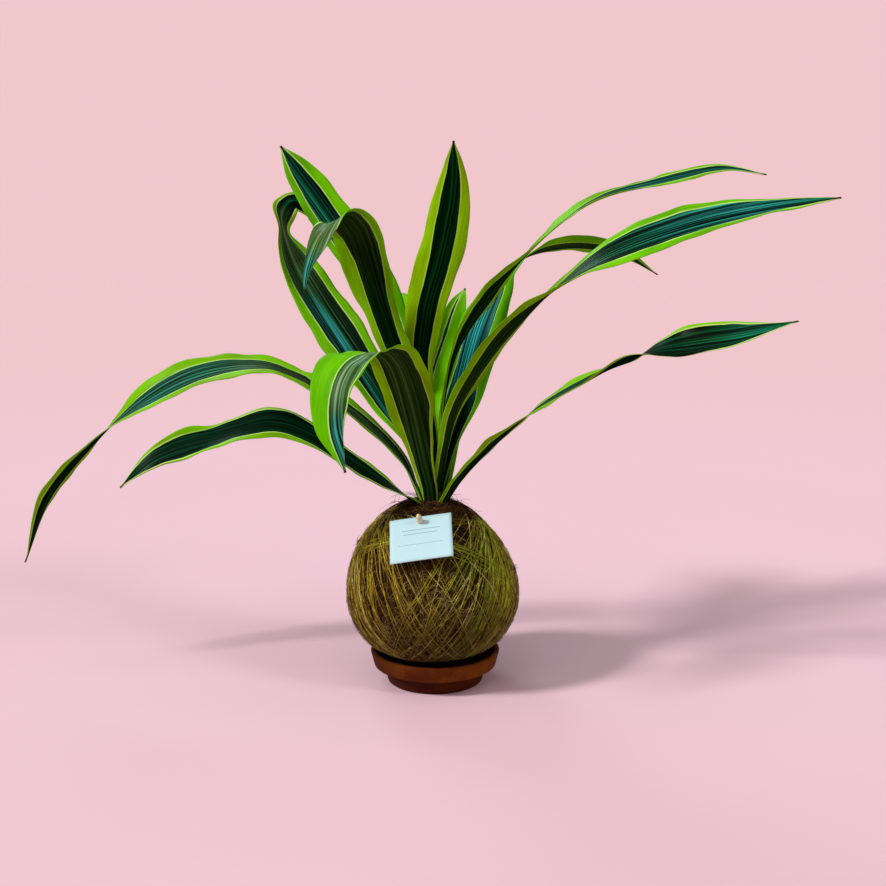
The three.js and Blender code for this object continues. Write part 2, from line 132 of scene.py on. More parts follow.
def colourRamp(tree, share, stops):
    node = addNode(tree, "ValToRGB", {"Fac": share})
    ramp = node.color_ramp
    while len(ramp.elements) < len(stops):
        ramp.elements.new(0.5)
    for element, (position, colour) in zip(ramp.elements, stops):
        element.position = position
        element.color = rgb(colour)
    return node.outputs["Color"]


def rgb(code):  # a web colour such as "7fae0a" as the shader's linear colour
    parts = [int(code[i : i + 2], 16) / 255 for i in (0, 2, 4)]
    linear = [part / 12.92 if part <= 0.04045 else ((part + 0.055) / 1.055) ** 2.4 for part in parts]
    return (*linear, 1.0)


def readAttribute(tree, name):
    return addNode(tree, "Attribute", attribute_name=name).outputs["Fac"]


def axisOf(tree, vector, axis):
    return addNode(tree, "SeparateXYZ", {"Vector": vector}).outputs[axis]


def spotNoise(tree, vector, scale, detail=4.0, roughness=0.55, distortion=0.0):
    values = {"Vector": vector, "Scale": scale, "Detail": detail, "Roughness": roughness}
    values["Distortion"] = distortion
    return addNode(tree, "TexNoise", values).outputs["Fac"]


def stretchBy(tree, vector, scale):
    return addNode(tree, "Mapping", {"Vector": vector, "Scale": scale}).outputs[0]


def newMaterial(name, roughness, specular=0.5):
    material = bpy.data.materials.new(name)
    material.use_nodes = True
    shader = material.node_tree.nodes["Principled BSDF"]
    shader.inputs["Roughness"].default_value = roughness
    shader.inputs["Specular IOR Level"].default_value = specular
    return material, material.node_tree


def coat(material, colour, height, strength, distance, gloss=None):
    # Links a colour and a relief into the material's shader, and a varying roughness where it has one.
    tree = material.node_tree
    shader = tree.nodes["Principled BSDF"]
    bump = addNode(tree, "Bump", {"Height": height, "Strength": strength, "Distance": distance})
    tree.links.new(colour, shader.inputs["Base Color"])
    tree.links.new(bump.outputs["Normal"], shader.inputs["Normal"])
    if gloss is not None:
        tree.links.new(gloss, shader.inputs["Roughness"])
    return material


def newGroup(name, inputs, outputs):
    group = bpy.data.node_groups.new(name, "ShaderNodeTree")
    for label, kind, value in inputs:
        socket = group.interface.new_socket(label, in_out="INPUT", socket_type="NodeSocket" + kind)
        if value is not None:
            socket.default_value = value
    for label in outputs:
        group.interface.new_socket(label, in_out="OUTPUT", socket_type="NodeSocketFloat")
    start = group.nodes.new("NodeGroupInput")
    end = group.nodes.new("NodeGroupOutput")
    return group, start.outputs, end.inputs


def useGroup(tree, group, values):
    return addNode(tree, "Group", values, node_tree=group).outputs


# Shared effects


def makeMottle():  # cloudy light and dark patches with fine grains in them
    inputs = [("Vector", "Vector", None), ("Patches", "Float", 20.0), ("Grains", "Float", 400.0)]
    group, given, result = newGroup("mottle", inputs, ["Patch", "Grain", "Height"])
    patch = spotNoise(group, given["Vector"], given["Patches"], 3.0)
    grain = spotNoise(group, given["Vector"], given["Grains"], 5.0, 0.65)
    group.links.new(remap(group, patch, 0.35, 0.65), result["Patch"])
    group.links.new(remap(group, grain, 0.3, 0.7), result["Grain"])
    group.links.new(calculate(group, "MULTIPLY_ADD", patch, 0.5, grain), result["Height"])
    return group


def makeFelting():  # a mat of short tangled fibres: two bent noises, thin where they cross zero
    inputs = [("Vector", "Vector", None), ("Scale", "Float", 300.0)]
    group, given, result = newGroup("felting", inputs, ["Fibre", "Shade"])
    lines = []
    for shift, bend in ((0.0, 2.5), (13.7, 3.5)):
        values = {"Vector": given["Vector"], "Location": (shift, -shift, shift / 2)}
        moved = addNode(group, "Mapping", values).outputs[0]
        wave = spotNoise(group, moved, given["Scale"], 3.0, 0.6, bend)
        offMiddle = calculate(group, "ABSOLUTE", calculate(group, "SUBTRACT", wave, 0.5))
        lines.append(remap(group, offMiddle, 0.0, 0.045, 1.0, 0.0))
    group.links.new(calculate(group, "MAXIMUM", *lines), result["Fibre"])
    group.links.new(remap(group, wave, 0.3, 0.7), result["Shade"])
    return group


def makeBladeMarks():  # the blade's lengthwise stripes, from millimetres across and along it
    inputs = [("Blade", "Vector", None), ("From Edge", "Float", 0.0), ("Tone", "Float", 0.0)]
    outputs = ["Margin", "Cream", "Streak", "Vein", "Cloud"]
    group, given, result = newGroup("bladeMarks", inputs, outputs)
    split = addNode(group, "SeparateXYZ", {"Vector": given["Blade"]}).outputs
    depth = multiply(group, given["Tone"], 60.0)

    def lengthwise(acrossScale, alongScale, detail, shift):
        across = multiply(group, split["X"], acrossScale)
        along = multiply(group, split["Y"], alongScale)
        lifted = calculate(group, "ADD", depth, shift)
        place = addNode(group, "CombineXYZ", {"X": across, "Y": along, "Z": lifted}).outputs[0]
        return spotNoise(group, place, 1.0, detail, 0.6)

    wander = calculate(group, "MULTIPLY_ADD", lengthwise(0.02, 0.06, 2.0, 4.0), 1.4, -0.7)
    edge = calculate(group, "ADD", given["From Edge"], wander)
    group.links.new(remap(group, edge, -0.2, 0.25), result["Margin"])
    nearLine = calculate(group, "ABSOLUTE", calculate(group, "SUBTRACT", edge, 0.35))
    broken = remap(group, lengthwise(0.02, 0.03, 2.0, 21.0), 0.3, 0.55, 0.25, 1.0)
    line = multiply(group, remap(group, nearLine, 0.2, 0.65, 1.0, 0.0), broken)
    group.links.new(line, result["Cream"])
    group.links.new(remap(group, lengthwise(0.75, 0.006, 3.0, 0.0), 0.38, 0.72), result["Streak"])
    group.links.new(lengthwise(1.25, 0.004, 2.0, 9.0), result["Vein"])
    group.links.new(remap(group, lengthwise(0.06, 0.02, 3.0, 33.0), 0.3, 0.7), result["Cloud"])
    return group


def makeDampFoot():  # painted shade: one where the ball stands in its saucer, nothing above the rim
    group, given, result = newGroup("saucerShade", [("Vector", "Vector", None)], ["Damp"])
    height = axisOf(group, given["Vector"], "Z")
    ragged = calculate(group, "MULTIPLY_ADD", spotNoise(group, given["Vector"], 140.0, 3.0), 0.004, height)
    group.links.new(remap(group, ragged, 0.0285, 0.0335, 0.9, 0.0), result["Damp"])
    return group


mottle = makeMottle()
felting = makeFelting()
bladeMarks = makeBladeMarks()
saucerShade = makeDampFoot()
print("shared node groups made")


def mottledMaterial(name, patches, grains, roughness, specular=0.5):
    material, tree = newMaterial(name, roughness, specular)
    place = addNode(tree, "TexCoord").outputs["Object"]
    marks = useGroup(tree, mottle, {"Vector": place, "Patches": patches, "Grains": grains})
    return material, tree, place, marks


# painted shade on the ball below the saucer's rim
def shadedInSaucer(tree, place, colour, saucerShadow):
    return blendColours(tree, useGroup(tree, saucerShade, {"Vector": place})["Damp"], colour, rgb(saucerShadow))


# Placing pieces


def addPiece(name, mesh, materials, replaced=()):
    piece = bpy.data.objects.new(name, mesh)
    scene.collection.objects.link(piece)
    for material in materials:
        mesh.materials.append(material)
    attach(piece, "root")
    if replaced:
        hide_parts(*replaced)
    return piece


def thicken(piece, name, millimetres, offset):
    wall = piece.modifiers.new(name, "SOLIDIFY")
    wall.thickness = millimetres * mm
    wall.offset = offset
    return wall


def meshFrom(bm, name, smooth=True):
    for face in bm.faces:
        face.smooth = smooth
    mesh = bpy.data.meshes.new(name)
    bm.to_mesh(mesh)
    bm.free()
    return mesh


def putInOrder(bm):
    # Points and faces came in another order from run to run, so their places set the order.
    slant = Vector((1, 0.618, 0.1273))
    bm.verts.sort(key=lambda vertex: vertex.co.dot(slant))
    bm.edges.sort(key=lambda edge: (edge.verts[0].co + edge.verts[1].co).dot(slant))
    bm.faces.sort(key=lambda face: face.calc_center_median().dot(slant))


def spinRound(bm, steps):
    turned = bm.verts[:] + bm.edges[:]
    about = {"cent": (0, 0, 0), "axis": (0, 0, 1), "angle": 2 * math.pi}
    bmesh.ops.spin(bm, geom=turned, steps=steps, use_merge=True, **about)


def spunProfile(profile, steps, centre=(0, 0)):  # a profile of radius and height in millimetres, spun round
    bm = bmesh.new()
    row = [bm.verts.new((radius * mm, 0, height * mm)) for radius, height in profile]
    for low, high in zip(row, row[1:]):
        bm.edges.new((low, high))
    spinRound(bm, steps)
    bmesh.ops.remove_doubles(bm, verts=bm.verts, dist=1e-6)
    putInOrder(bm)
    bmesh.ops.recalc_face_normals(bm, faces=bm.faces)
    bmesh.ops.translate(bm, verts=bm.verts, vec=(centre[0] * mm, centre[1] * mm, 0))
    return bm


# Floor


def makeFloor(settings):
    material, tree, place, marks = mottledMaterial("blushFloor", 1.5, 90.0, 0.9, 0.0)
    near, far = (*settings["near"], 1), (*settings["far"], 1)
    away = addNode(tree, "VectorMath", {0: place}, operation="LENGTH").outputs["Value"]
    colour = blendColours(tree, remap(tree, away, 0.4, 3.0), near, far)
    cloud = multiply(tree, marks["Patch"], remap(tree, away, 0.5, 4.0, 0.35, 0.0))
    coat(material, blendColours(tree, cloud, colour, far), marks["Grain"], 0.03, 0.0005)
    bm = bmesh.new()
    bmesh.ops.create_grid(bm, x_segments=1, y_segments=1, size=settings["halfSize"])
    floor = bpy.data.objects.new("floor", meshFrom(bm, "floor", smooth=False))
    floor.data.materials.append(material)
    scene.collection.objects.link(floor)


def makeWorld(settings):  # the camera sees a plain backdrop, the plant is lit by a dimmer one
    world = bpy.data.worlds.new("studio")
    world.use_nodes = True
    tree = world.node_tree
    ambient = tree.nodes["Background"]
    ambient.inputs["Color"].default_value = (*settings["ambient"], 1)
    ambient.inputs["Strength"].default_value = settings["ambientStrength"]
    backdrop = addNode(tree, "Background", {"Color": (*settings["backdrop"], 1), "Strength": 1.0})
    seen = addNode(tree, "LightPath").outputs["Is Camera Ray"]
    both = addNode(tree, "MixShader", {0: seen, 1: ambient.outputs[0], 2: backdrop.outputs[0]})
    tree.links.new(both.outputs[0], tree.nodes["World Output"].inputs["Surface"])
    scene.world = world


makeFloor(floorSettings)
makeWorld(floorSettings)
print("floor laid")


# Saucer

saucerSettings = {
    "steps": 120,
    # The last clay colour is painted shade for the saucer's left side.
    "clay": ("3e1500", "582400", "6e3a02"), "foot": "320600", "darkening": "381000",
    "profile": [
        (0, 0), (35.6, 0), (36.7, 0.5), (37.1, 1.5), (38.6, 7), (40, 12.4), (40.4, 12.9), (46.6, 13),
        (47.2, 13.2), (47.5, 13.9), (48.7, 18.5), (50, 23.7), (49.8, 24.4), (49.2, 24.9), (48.4, 25),
        (47.4, 25), (46.6, 24.8), (46.1, 24.2), (45.9, 23.3), (44.9, 20.2), (44, 18.6), (40, 16.6),
        (36.4, 14.8), (35.2, 12.2), (34, 10.2), (33.3, 9.2), (32, 8.75), (0, 8.7),
    ],
}


def makeClay(settings):
    material, tree, place, marks = mottledMaterial("terracotta", 38.0, 900.0, 0.78, 0.08)
    rings = spotNoise(tree, stretchBy(tree, place, (12, 12, 900)), 1.0, 3.0)  # faint turning lines
    shade = addShares(tree, marks["Grain"], 0.35, marks["Patch"], 0.65)
    colour = colourRamp(tree, shade, list(zip((0.0, 0.5, 1.0), settings["clay"])))
    lowDown = remap(tree, axisOf(tree, place, "Z"), 0.0118, 0.0132, 0.7, 0.0)
    colour = blendColours(tree, lowDown, colour, rgb(settings["foot"]))  # the foot below the band is darker
    shadedLeft = remap(tree, axisOf(tree, place, "X"), -0.048, -0.008, 0.85, 0.0)
    colour = blendColours(tree, shadedLeft, colour, rgb(settings["darkening"]))  # painted shade: the saucer's left side is darkened as if it lay in shade
    gloss = remap(tree, marks["Patch"], 0.0, 1.0, 0.66, 0.84)
    relief = calculate(tree, "MULTIPLY_ADD", rings, 0.8, marks["Height"])
    return coat(material, colour, relief, 0.35, 0.0006, gloss)


def makeSaucer(settings):
    bm = spunProfile(settings["profile"], settings["steps"])
    addPiece("clay_saucer", meshFrom(bm, "clay_saucer"), [makeClay(settings)], ["saucer"])


makeSaucer(saucerSettings)
print("saucer turned")


# Ball

ballSettings = {
    "centre": (-2.0, 0.0, 69.0), "radius": 65.5, "rise": 73.0, "drop": 61.5, "bottom": 9.0,
    "crownDegrees": 19.0, "wall": 3.4, "around": 190, "down": 100,
    "tuck": 3.0, "tuckFrom": 0.52, "tuckOver": 0.22, "clearance": 0.4,
    "sunk": 1.0, "lumps": [(4.3, 0.7), (17, 0.5), (46, 0.3)],
    "ground": [(0.0, "0c0300"), (0.5, "1e0802"), (1.0, "3a1606")], "patch": "170802",
    # The last two colours darken the crown round the stem and paint the shade below the saucer's rim.
    "fibre": [(0.0, "46230c"), (1.0, "84561f")], "crownDark": "140903", "saucerShadow": "070402",
}


def skinDistance(polar, azimuth):  # millimetres from the ball's centre to its skin
    across = np.sin(polar) / ballSettings["radius"]
    upper = polar < math.pi / 2
    upright = np.cos(polar) / np.where(upper, ballSettings["rise"], ballSettings["drop"])
    shoulder = np.where(upper, -0.015 - 0.03 * np.cos(azimuth), -0.035)
    lump = 0.007 * np.sin(3 * azimuth + 0.8) * np.sin(polar) ** 2
    return (1 + shoulder * np.sin(2 * polar) ** 2 + lump) / np.hypot(across, upright)


def tuckedUnder(ways):  # how far the ball's foot draws in from the saucer's rim, in millimetres
    share = np.clip((-ways[:, 2] - ballSettings["tuckFrom"]) / ballSettings["tuckOver"], 0, 1)
    return ballSettings["tuck"] * share * share * (3 - 2 * share)


def skinPoints(ways, proud):  # the points above the skin in these directions, one row each
    polar = np.arccos(np.clip(ways[:, 2], -1, 1))
    azimuth = np.arctan2(ways[:, 1], ways[:, 0])
    distance = skinDistance(polar, azimuth) - tuckedUnder(ways) + proud
    points = ways * distance[:, None] + np.array(ballSettings["centre"])
    points[:, 2] = np.maximum(points[:, 2], ballSettings["bottom"] + ballSettings["clearance"])
    return points


def unitRows(rows):
    return rows / np.linalg.norm(rows, axis=1, keepdims=True)


def lumpAt(place, layers):  # each layer is how fine its lumps are and how many millimetres high
    return sum(noise.noise(place * pitch) * height for pitch, height in layers)


def makeCoir(settings):
    material, tree, place, marks = mottledMaterial("coirFelt", 45.0, 700.0, 0.95, 0.1)
    mat = useGroup(tree, felting, {"Vector": place, "Scale": 260.0})
    fine = useGroup(tree, felting, {"Vector": place, "Scale": 620.0})
    ground = colourRamp(tree, marks["Grain"], settings["ground"])
    ground = blendColours(tree, multiply(tree, marks["Patch"], 0.5), ground, rgb(settings["patch"]))
    fibres = calculate(tree, "MAXIMUM", mat["Fibre"], multiply(tree, fine["Fibre"], 0.6))
    pale = colourRamp(tree, mat["Shade"], settings["fibre"])
    colour = blendColours(tree, multiply(tree, fibres, 0.4), ground, pale)
    aroundStem = remap(tree, axisOf(tree, place, "Z"), 0.112, 0.13, 0.0, 0.7)  # darker round the stem
    colour = blendColours(tree, aroundStem, colour, rgb(settings["crownDark"]))
    relief = calculate(tree, "MULTIPLY_ADD", fibres, 0.7, marks["Height"])
    return coat(material, shadedInSaucer(tree, place, colour, settings["saucerShadow"]), relief, 0.9, 0.0012)


def makeFelt(settings):
    bm = bmesh.new()
    around, down = settings["around"], settings["down"]
    bmesh.ops.create_uvsphere(bm, u_segments=around, v_segments=down, radius=1.0)
    putInOrder(bm)
    crown = math.cos(math.radians(settings["crownDegrees"]))
    bmesh.ops.delete(bm, geom=[vertex for vertex in bm.verts if vertex.co.z > crown], context="VERTS")
    for vertex in bm.verts:
        way = vertex.co.normalized()
        polar = math.acos(max(-1, min(1, way.z)))
        distance = float(skinDistance(polar, math.atan2(way.y, way.x)))
        distance += lumpAt(way, settings["lumps"]) - settings["sunk"]
        distance -= float(tuckedUnder(np.array([way]))[0])
        point = way * distance + Vector(settings["centre"])
        point.z = max(point.z, settings["bottom"])
        vertex.co = point * mm
    felt = addPiece("coir_felt", meshFrom(bm, "coir_felt"), [makeCoir(settings)], ["coir_wrap"])
    thicken(felt, "wall", settings["wall"], -1)


makeFelt(ballSettings)
print("felt ball shaped")


# Soil at the crown

soilSettings = {
    "radius": 21.5, "height": 127.0, "cells": 70, "depth": 1.2, "crumbs": [(420, 1.1), (1100, 0.7)],
    "grain": [(0.0, "0b0603"), (0.6, "1f130b"), (1.0, "3a2717")], "shred": "5a3c22",
}


def makeSoil(settings):
    material, tree, place, marks = mottledMaterial("dampSoil", 120.0, 900.0, 0.95, 0.1)
    shreds = useGroup(tree, felting, {"Vector": place, "Scale": 340.0})
    colour = colourRamp(tree, marks["Grain"], settings["grain"])
    colour = blendColours(tree, multiply(tree, shreds["Fibre"], 0.5), colour, rgb(settings["shred"]))
    return coat(material, colour, marks["Height"], 0.8, 0.0015)


def makeSoilTop(settings, material):  # a crumbly skin on the soil, round the stem
    bm = bmesh.new()
    cells = settings["cells"]
    size = settings["radius"] * mm
    bmesh.ops.create_grid(bm, x_segments=cells, y_segments=cells, size=size)
    for vertex in bm.verts:  # the square grid is drawn in to a disc
        x, y = vertex.co.x / size, vertex.co.y / size
        vertex.co.x = size * x * math.sqrt(1 - y * y / 2)
        vertex.co.y = size * y * math.sqrt(1 - x * x / 2)
    for vertex in bm.verts:
        reach = vertex.co.length / size
        heap = 2.2 - 1.6 * reach ** 3
        crumb = lumpAt(vertex.co, settings["crumbs"]) * (1.1 - reach ** 6)  # nearly none at the rim
        vertex.co.z = (settings["height"] + heap + crumb) * mm
        vertex.co.x += ballSettings["centre"][0] * mm
    top = addPiece("soil_top", meshFrom(bm, "soil_top"), [material])
    thicken(top, "depth", settings["depth"], -1)


soil = makeSoil(soilSettings)
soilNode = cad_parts["soil_ball"]
soilNode.data.materials.clear()
soilNode.data.materials.append(soil)
makeSoilTop(soilSettings, soil)
print("soil crumbled")


# Thread and fibres

rackSettings = {"apart": 4, "ring": 20}  # how strands stand before they are laid, in their own radii
steepest = math.radians(71)  # a winding that leans further would slip off the ball
# darker colours for the ball's lower half, and the painted shade below the saucer's rim
lowColours = {"thread": "320e00", "fibre": "220b02", "saucerShadow": "0a0703"}


def strandRack(doublings, steps, closed=False):
    # Parallel strands of three sides. What lays them reads each one's place from them.
    bm = bmesh.new()
    bmesh.ops.create_circle(bm, segments=3, radius=1.0)
    if closed:
        upended = Matrix.Rotation(math.pi / 2, 3, "X")
        bmesh.ops.rotate(bm, verts=bm.verts, cent=(0, 0, 0), matrix=upended)
        bmesh.ops.translate(bm, verts=bm.verts, vec=(rackSettings["ring"], 0, 0))
        spinRound(bm, steps)
        apart = Vector((0, 0, rackSettings["apart"]))
    else:
        edges = bm.edges[:]
        for _ in range(steps):
            made = bmesh.ops.extrude_edge_only(bm, edges=edges)["geom"]
            edges = [item for item in made if isinstance(item, bmesh.types.BMEdge)]
            points = [item for item in made if isinstance(item, bmesh.types.BMVert)]
            edges = [edge for edge in edges if edge.verts[0] in points and edge.verts[1] in points]
            bmesh.ops.translate(bm, verts=points, vec=(0, 0, 1))
        bmesh.ops.holes_fill(bm, edges=bm.edges, sides=3)
        apart = Vector((rackSettings["apart"], 0, 0))
    bmesh.ops.recalc_face_normals(bm, faces=bm.faces)
    for turn in range(doublings):
        everything = bm.verts[:] + bm.edges[:] + bm.faces[:]
        copied = bmesh.ops.duplicate(bm, geom=everything)["geom"]
        points = [item for item in copied if isinstance(item, bmesh.types.BMVert)]
        bmesh.ops.translate(bm, verts=points, vec=apart * 2 ** turn)
    return bm


def rackPlaces(mesh):
    places = np.empty(len(mesh.vertices) * 3, np.float32)
    mesh.vertices.foreach_get("co", places)
    return places.reshape(-1, 3).astype(float)


def setPlaces(mesh, places, tones):
    mesh.vertices.foreach_set("co", (places * mm).astype(np.float32).ravel())
    mesh.attributes.new("tone", "FLOAT", "POINT").data.foreach_set("value", tones.astype(np.float32))
    mesh.update()


def layLoops(name, settings, material, replaced=()):
    # Closed windings: each runs round the ball in a leaning plane that wanders a little.
    draw = np.random.default_rng(settings["seed"])
    mesh = meshFrom(strandRack(settings["doublings"], settings["steps"], closed=True), name)
    rack = rackPlaces(mesh)
    loops = 2 ** settings["doublings"]
    spread = settings["spread"]
    loop = np.rint(rack[:, 2] / rackSettings["apart"]).astype(int)
    angle = np.arctan2(rack[:, 1], rack[:, 0])
    outward = np.hypot(rack[:, 0], rack[:, 1]) - rackSettings["ring"]
    aside = rack[:, 2] - rackSettings["apart"] * loop
    bunch = np.arange(loops) // settings["bunch"]
    bunches = bunch.max() + 1
    low, high = settings["leanDegrees"]
    lean = np.radians(draw.uniform(low, high, bunches)[bunch] + draw.normal(0, spread, loops))
    lean = np.minimum(lean, steepest)
    heading = settings["headings"](draw, bunches)[bunch] + np.radians(draw.normal(0, spread * 1.6, loops))
    offset = np.radians(draw.uniform(-6, 6, bunches)[bunch] + draw.normal(0, 0.8, loops))
    offset = np.clip(offset, lean - steepest, steepest - lean)
    proud = draw.uniform(*settings["proud"], loops)
    thick = draw.uniform(*settings["radius"], loops)
    tone = draw.uniform(0, 1, bunches)[bunch] * 0.5 + draw.uniform(0, 0.5, loops)
    wander = np.zeros(len(rack))
    for waves in (2, 3, 5, 9, 16):
        size = np.radians(draw.normal(0, settings["wander"] / waves, loops))
        phase = draw.uniform(0, 2 * math.pi, loops)
        wander += size[loop] * np.sin(waves * angle + phase[loop])
    axis = np.stack([np.sin(lean) * np.cos(heading), np.sin(lean) * np.sin(heading), np.cos(lean)], 1)
    level = unitRows(np.cross([0.0, 0.0, 1.0], axis))
    across = np.cross(axis, level)
    swing = (offset[loop] + wander)[:, None]
    ringWay = level[loop] * np.cos(angle)[:, None] + across[loop] * np.sin(angle)[:, None]
    ways = ringWay * np.cos(swing) + axis[loop] * np.sin(swing)
    sideways = axis[loop] * np.cos(swing) - ringWay * np.sin(swing)
    rub = 0.35 * np.sin(7 * angle + 9 * tone[loop])
    places = skinPoints(ways, proud[loop] + rub + outward * thick[loop])
    places += sideways * (aside * thick[loop])[:, None]
    setPlaces(mesh, places, tone[loop])
    addPiece(name, mesh, [material], replaced)


def layFibres(name, settings, material):
    # Short loose strands: each starts at a point of the skin and curves away over it.
    draw = np.random.default_rng(settings["seed"])
    mesh = meshFrom(strandRack(settings["doublings"], settings["steps"]), name)
    rack = rackPlaces(mesh)
    count = 2 ** settings["doublings"]
    strand = np.rint(rack[:, 0] / rackSettings["apart"]).astype(int)
    along = rack[:, 2] / settings["steps"]
    side = rack[:, 0] - rackSettings["apart"] * strand
    out = rack[:, 1]
    polar, azimuth = settings["starts"](draw, count)
    start = np.stack([np.sin(polar) * np.cos(azimuth), np.sin(polar) * np.sin(azimuth), np.cos(polar)], 1)
    east = unitRows(np.cross([0.0, 0.0, 1.0], start))
    north = np.cross(start, east)
    length = draw.uniform(*settings["length"], count)
    heading = draw.uniform(0, 2 * math.pi, count)
    bend = draw.normal(0, settings["bend"], count)
    kink = draw.normal(0, 0.5, count)
    thick = draw.uniform(*settings["radius"], count)
    rise = draw.uniform(0, 1, count) ** settings["risePower"] * settings["rise"]
    sink = draw.uniform(*settings["proud"], count)
    tone = draw.uniform(0, 1, count)
    turned = heading[strand] + bend[strand] * (along - 0.5) + kink[strand] * np.sin(5 * along)
    middle = heading[strand] + bend[strand] * (along - 0.5) / 2
    reach = along * length[strand] / ballSettings["radius"]
    goEast, goNorth = (reach * np.cos(middle))[:, None], (reach * np.sin(middle))[:, None]
    ways = unitRows(start[strand] + east[strand] * goEast + north[strand] * goNorth)
    lateral = -east[strand] * np.sin(turned)[:, None] + north[strand] * np.cos(turned)[:, None]
    taper = thick[strand] * (1 - 0.65 * along)
    lift = sink[strand] + 0.9 * np.sin(math.pi * along) + rise[strand] * along ** 1.6
    places = skinPoints(ways, lift + out * taper) + lateral * (side * taper)[:, None]
    setPlaces(mesh, places, tone[strand])
    addPiece(name, mesh, [material])


def darkenedLow(tree, place, colour, most, dark):  # the ball's lower half is darker and redder, with painted shade below the saucer's rim
    share = remap(tree, axisOf(tree, place, "Z"), 0.025, 0.1, most, 0.0)
    return shadedInSaucer(tree, place, blendColours(tree, share, colour, rgb(dark)), lowColours["saucerShadow"])


def makeThread(name, settings):
    material, tree, place, marks = mottledMaterial(name, 160.0, 1500.0, 0.5, 0.2)
    shade = addShares(tree, marks["Patch"], 0.35, readAttribute(tree, "tone"), 0.75)
    stops = (0.0, 0.55, 1.0)
    left, right = (colourRamp(tree, shade, list(zip(stops, settings[side]))) for side in ("left", "right"))
    colour = blendColours(tree, remap(tree, axisOf(tree, place, "X"), -0.03, 0.035), left, right)
    colour = darkenedLow(tree, place, colour, settings["darkening"], lowColours["thread"])
    return coat(material, colour, marks["Grain"], 0.3, 0.0002)


def makeFibre(name, stops):
    material, tree, place, marks = mottledMaterial(name, 90.0, 1200.0, 0.65, 0.12)
    shade = addShares(tree, marks["Grain"], 0.25, readAttribute(tree, "tone"), 0.8)
    colour = darkenedLow(tree, place, colourRamp(tree, shade, stops), 0.8, lowColours["fibre"])
    return coat(material, colour, marks["Grain"], 0.3, 0.0002)


def anyHeading(draw, count):
    return draw.uniform(0, 2 * math.pi, count)


def headingsNear(degrees, spread):
    return lambda draw, count: np.radians(draw.normal(degrees, spread, count))


# Each winding's colours, dull to bright, are those on the ball's left and on its right.
windingSettings = {
    "thread_deep": {
        "seed": 11, "doublings": 7, "steps": 72, "bunch": 2, "leanDegrees": (44, 71), "spread": 5.0,
        "wander": 2.6, "headings": anyHeading, "proud": (-0.3, 0.1), "radius": (0.16, 0.26),
        "left": ("1e0a02", "402604", "6a5004"), "right": ("1a1002", "382c06", "5c5604"), "darkening": 0.9,
    },
    "thread_gold": {
        "seed": 23, "doublings": 7, "steps": 80, "bunch": 2, "leanDegrees": (54, 71), "spread": 5.0,
        "wander": 2.8, "headings": headingsNear(265, 52), "proud": (-0.1, 0.5), "radius": (0.18, 0.28),
        "left": ("5c4402", "9e8402", "e0c814"), "right": ("5c5004", "968c06", "d0c81e"), "darkening": 0.76,
    },
    "thread_straw": {
        "seed": 31, "doublings": 6, "steps": 80, "bunch": 2, "leanDegrees": (54, 70), "spread": 5.0,
        "wander": 3.0, "headings": headingsNear(285, 58), "proud": (0.2, 0.7), "radius": (0.18, 0.27),
        "left": ("8c7018", "c2aa36", "ecde78"), "right": ("8a7c24", "bcb048", "ece68e"), "darkening": 0.62,
    },
    "thread_green": {
        "seed": 37, "doublings": 5, "steps": 80, "bunch": 8, "leanDegrees": (56, 69), "spread": 3.4,
        "wander": 2.0, "headings": headingsNear(216, 20), "proud": (0.1, 0.7), "radius": (0.24, 0.34),
        "left": ("6a6208", "968e10", "c0bc2c"), "right": ("5c680a", "88940e", "b8c02a"), "darkening": 0.72,
    },
    "thread_slant": {
        "seed": 41, "doublings": 3, "steps": 80, "bunch": 8, "leanDegrees": (43, 46), "spread": 2.6,
        "wander": 2.4, "headings": headingsNear(77.5, 2), "proud": (0.3, 0.8), "radius": (0.24, 0.32),
        "left": ("6a6208", "968e10", "c0bc2c"), "right": ("5c6a08", "86960e", "b4c428"), "darkening": 0.5,
    },
}


def allOverStarts(draw, count):  # even over the skin below the crown
    height = draw.uniform(-0.92, math.cos(math.radians(17)), count)
    return np.arccos(height), draw.uniform(0, 2 * math.pi, count)


def crownStarts(draw, count):
    return np.radians(draw.uniform(8, 25, count)), draw.uniform(0, 2 * math.pi, count)


def facingStarts(draw, count):  # thickest round the middle of four sides, where the thread lies thin
    sides = np.radians(draw.choice([265, 175, 85, 355], count, p=[0.46, 0.18, 0.18, 0.18]))
    return np.radians(draw.normal(88, 19, count)), sides + np.radians(draw.normal(0, 22, count))


def tuftStarts(draw, count):  # small tangles caught in the winding, by polar angle and azimuth
    tufts = np.radians([[57, 176], [73, 353], [70, 60], [100, 120]])
    chosen = tufts[np.arange(count) % len(tufts)]
    return chosen[:, 0] + draw.normal(0, 0.012, count), chosen[:, 1] + draw.normal(0, 0.012, count)


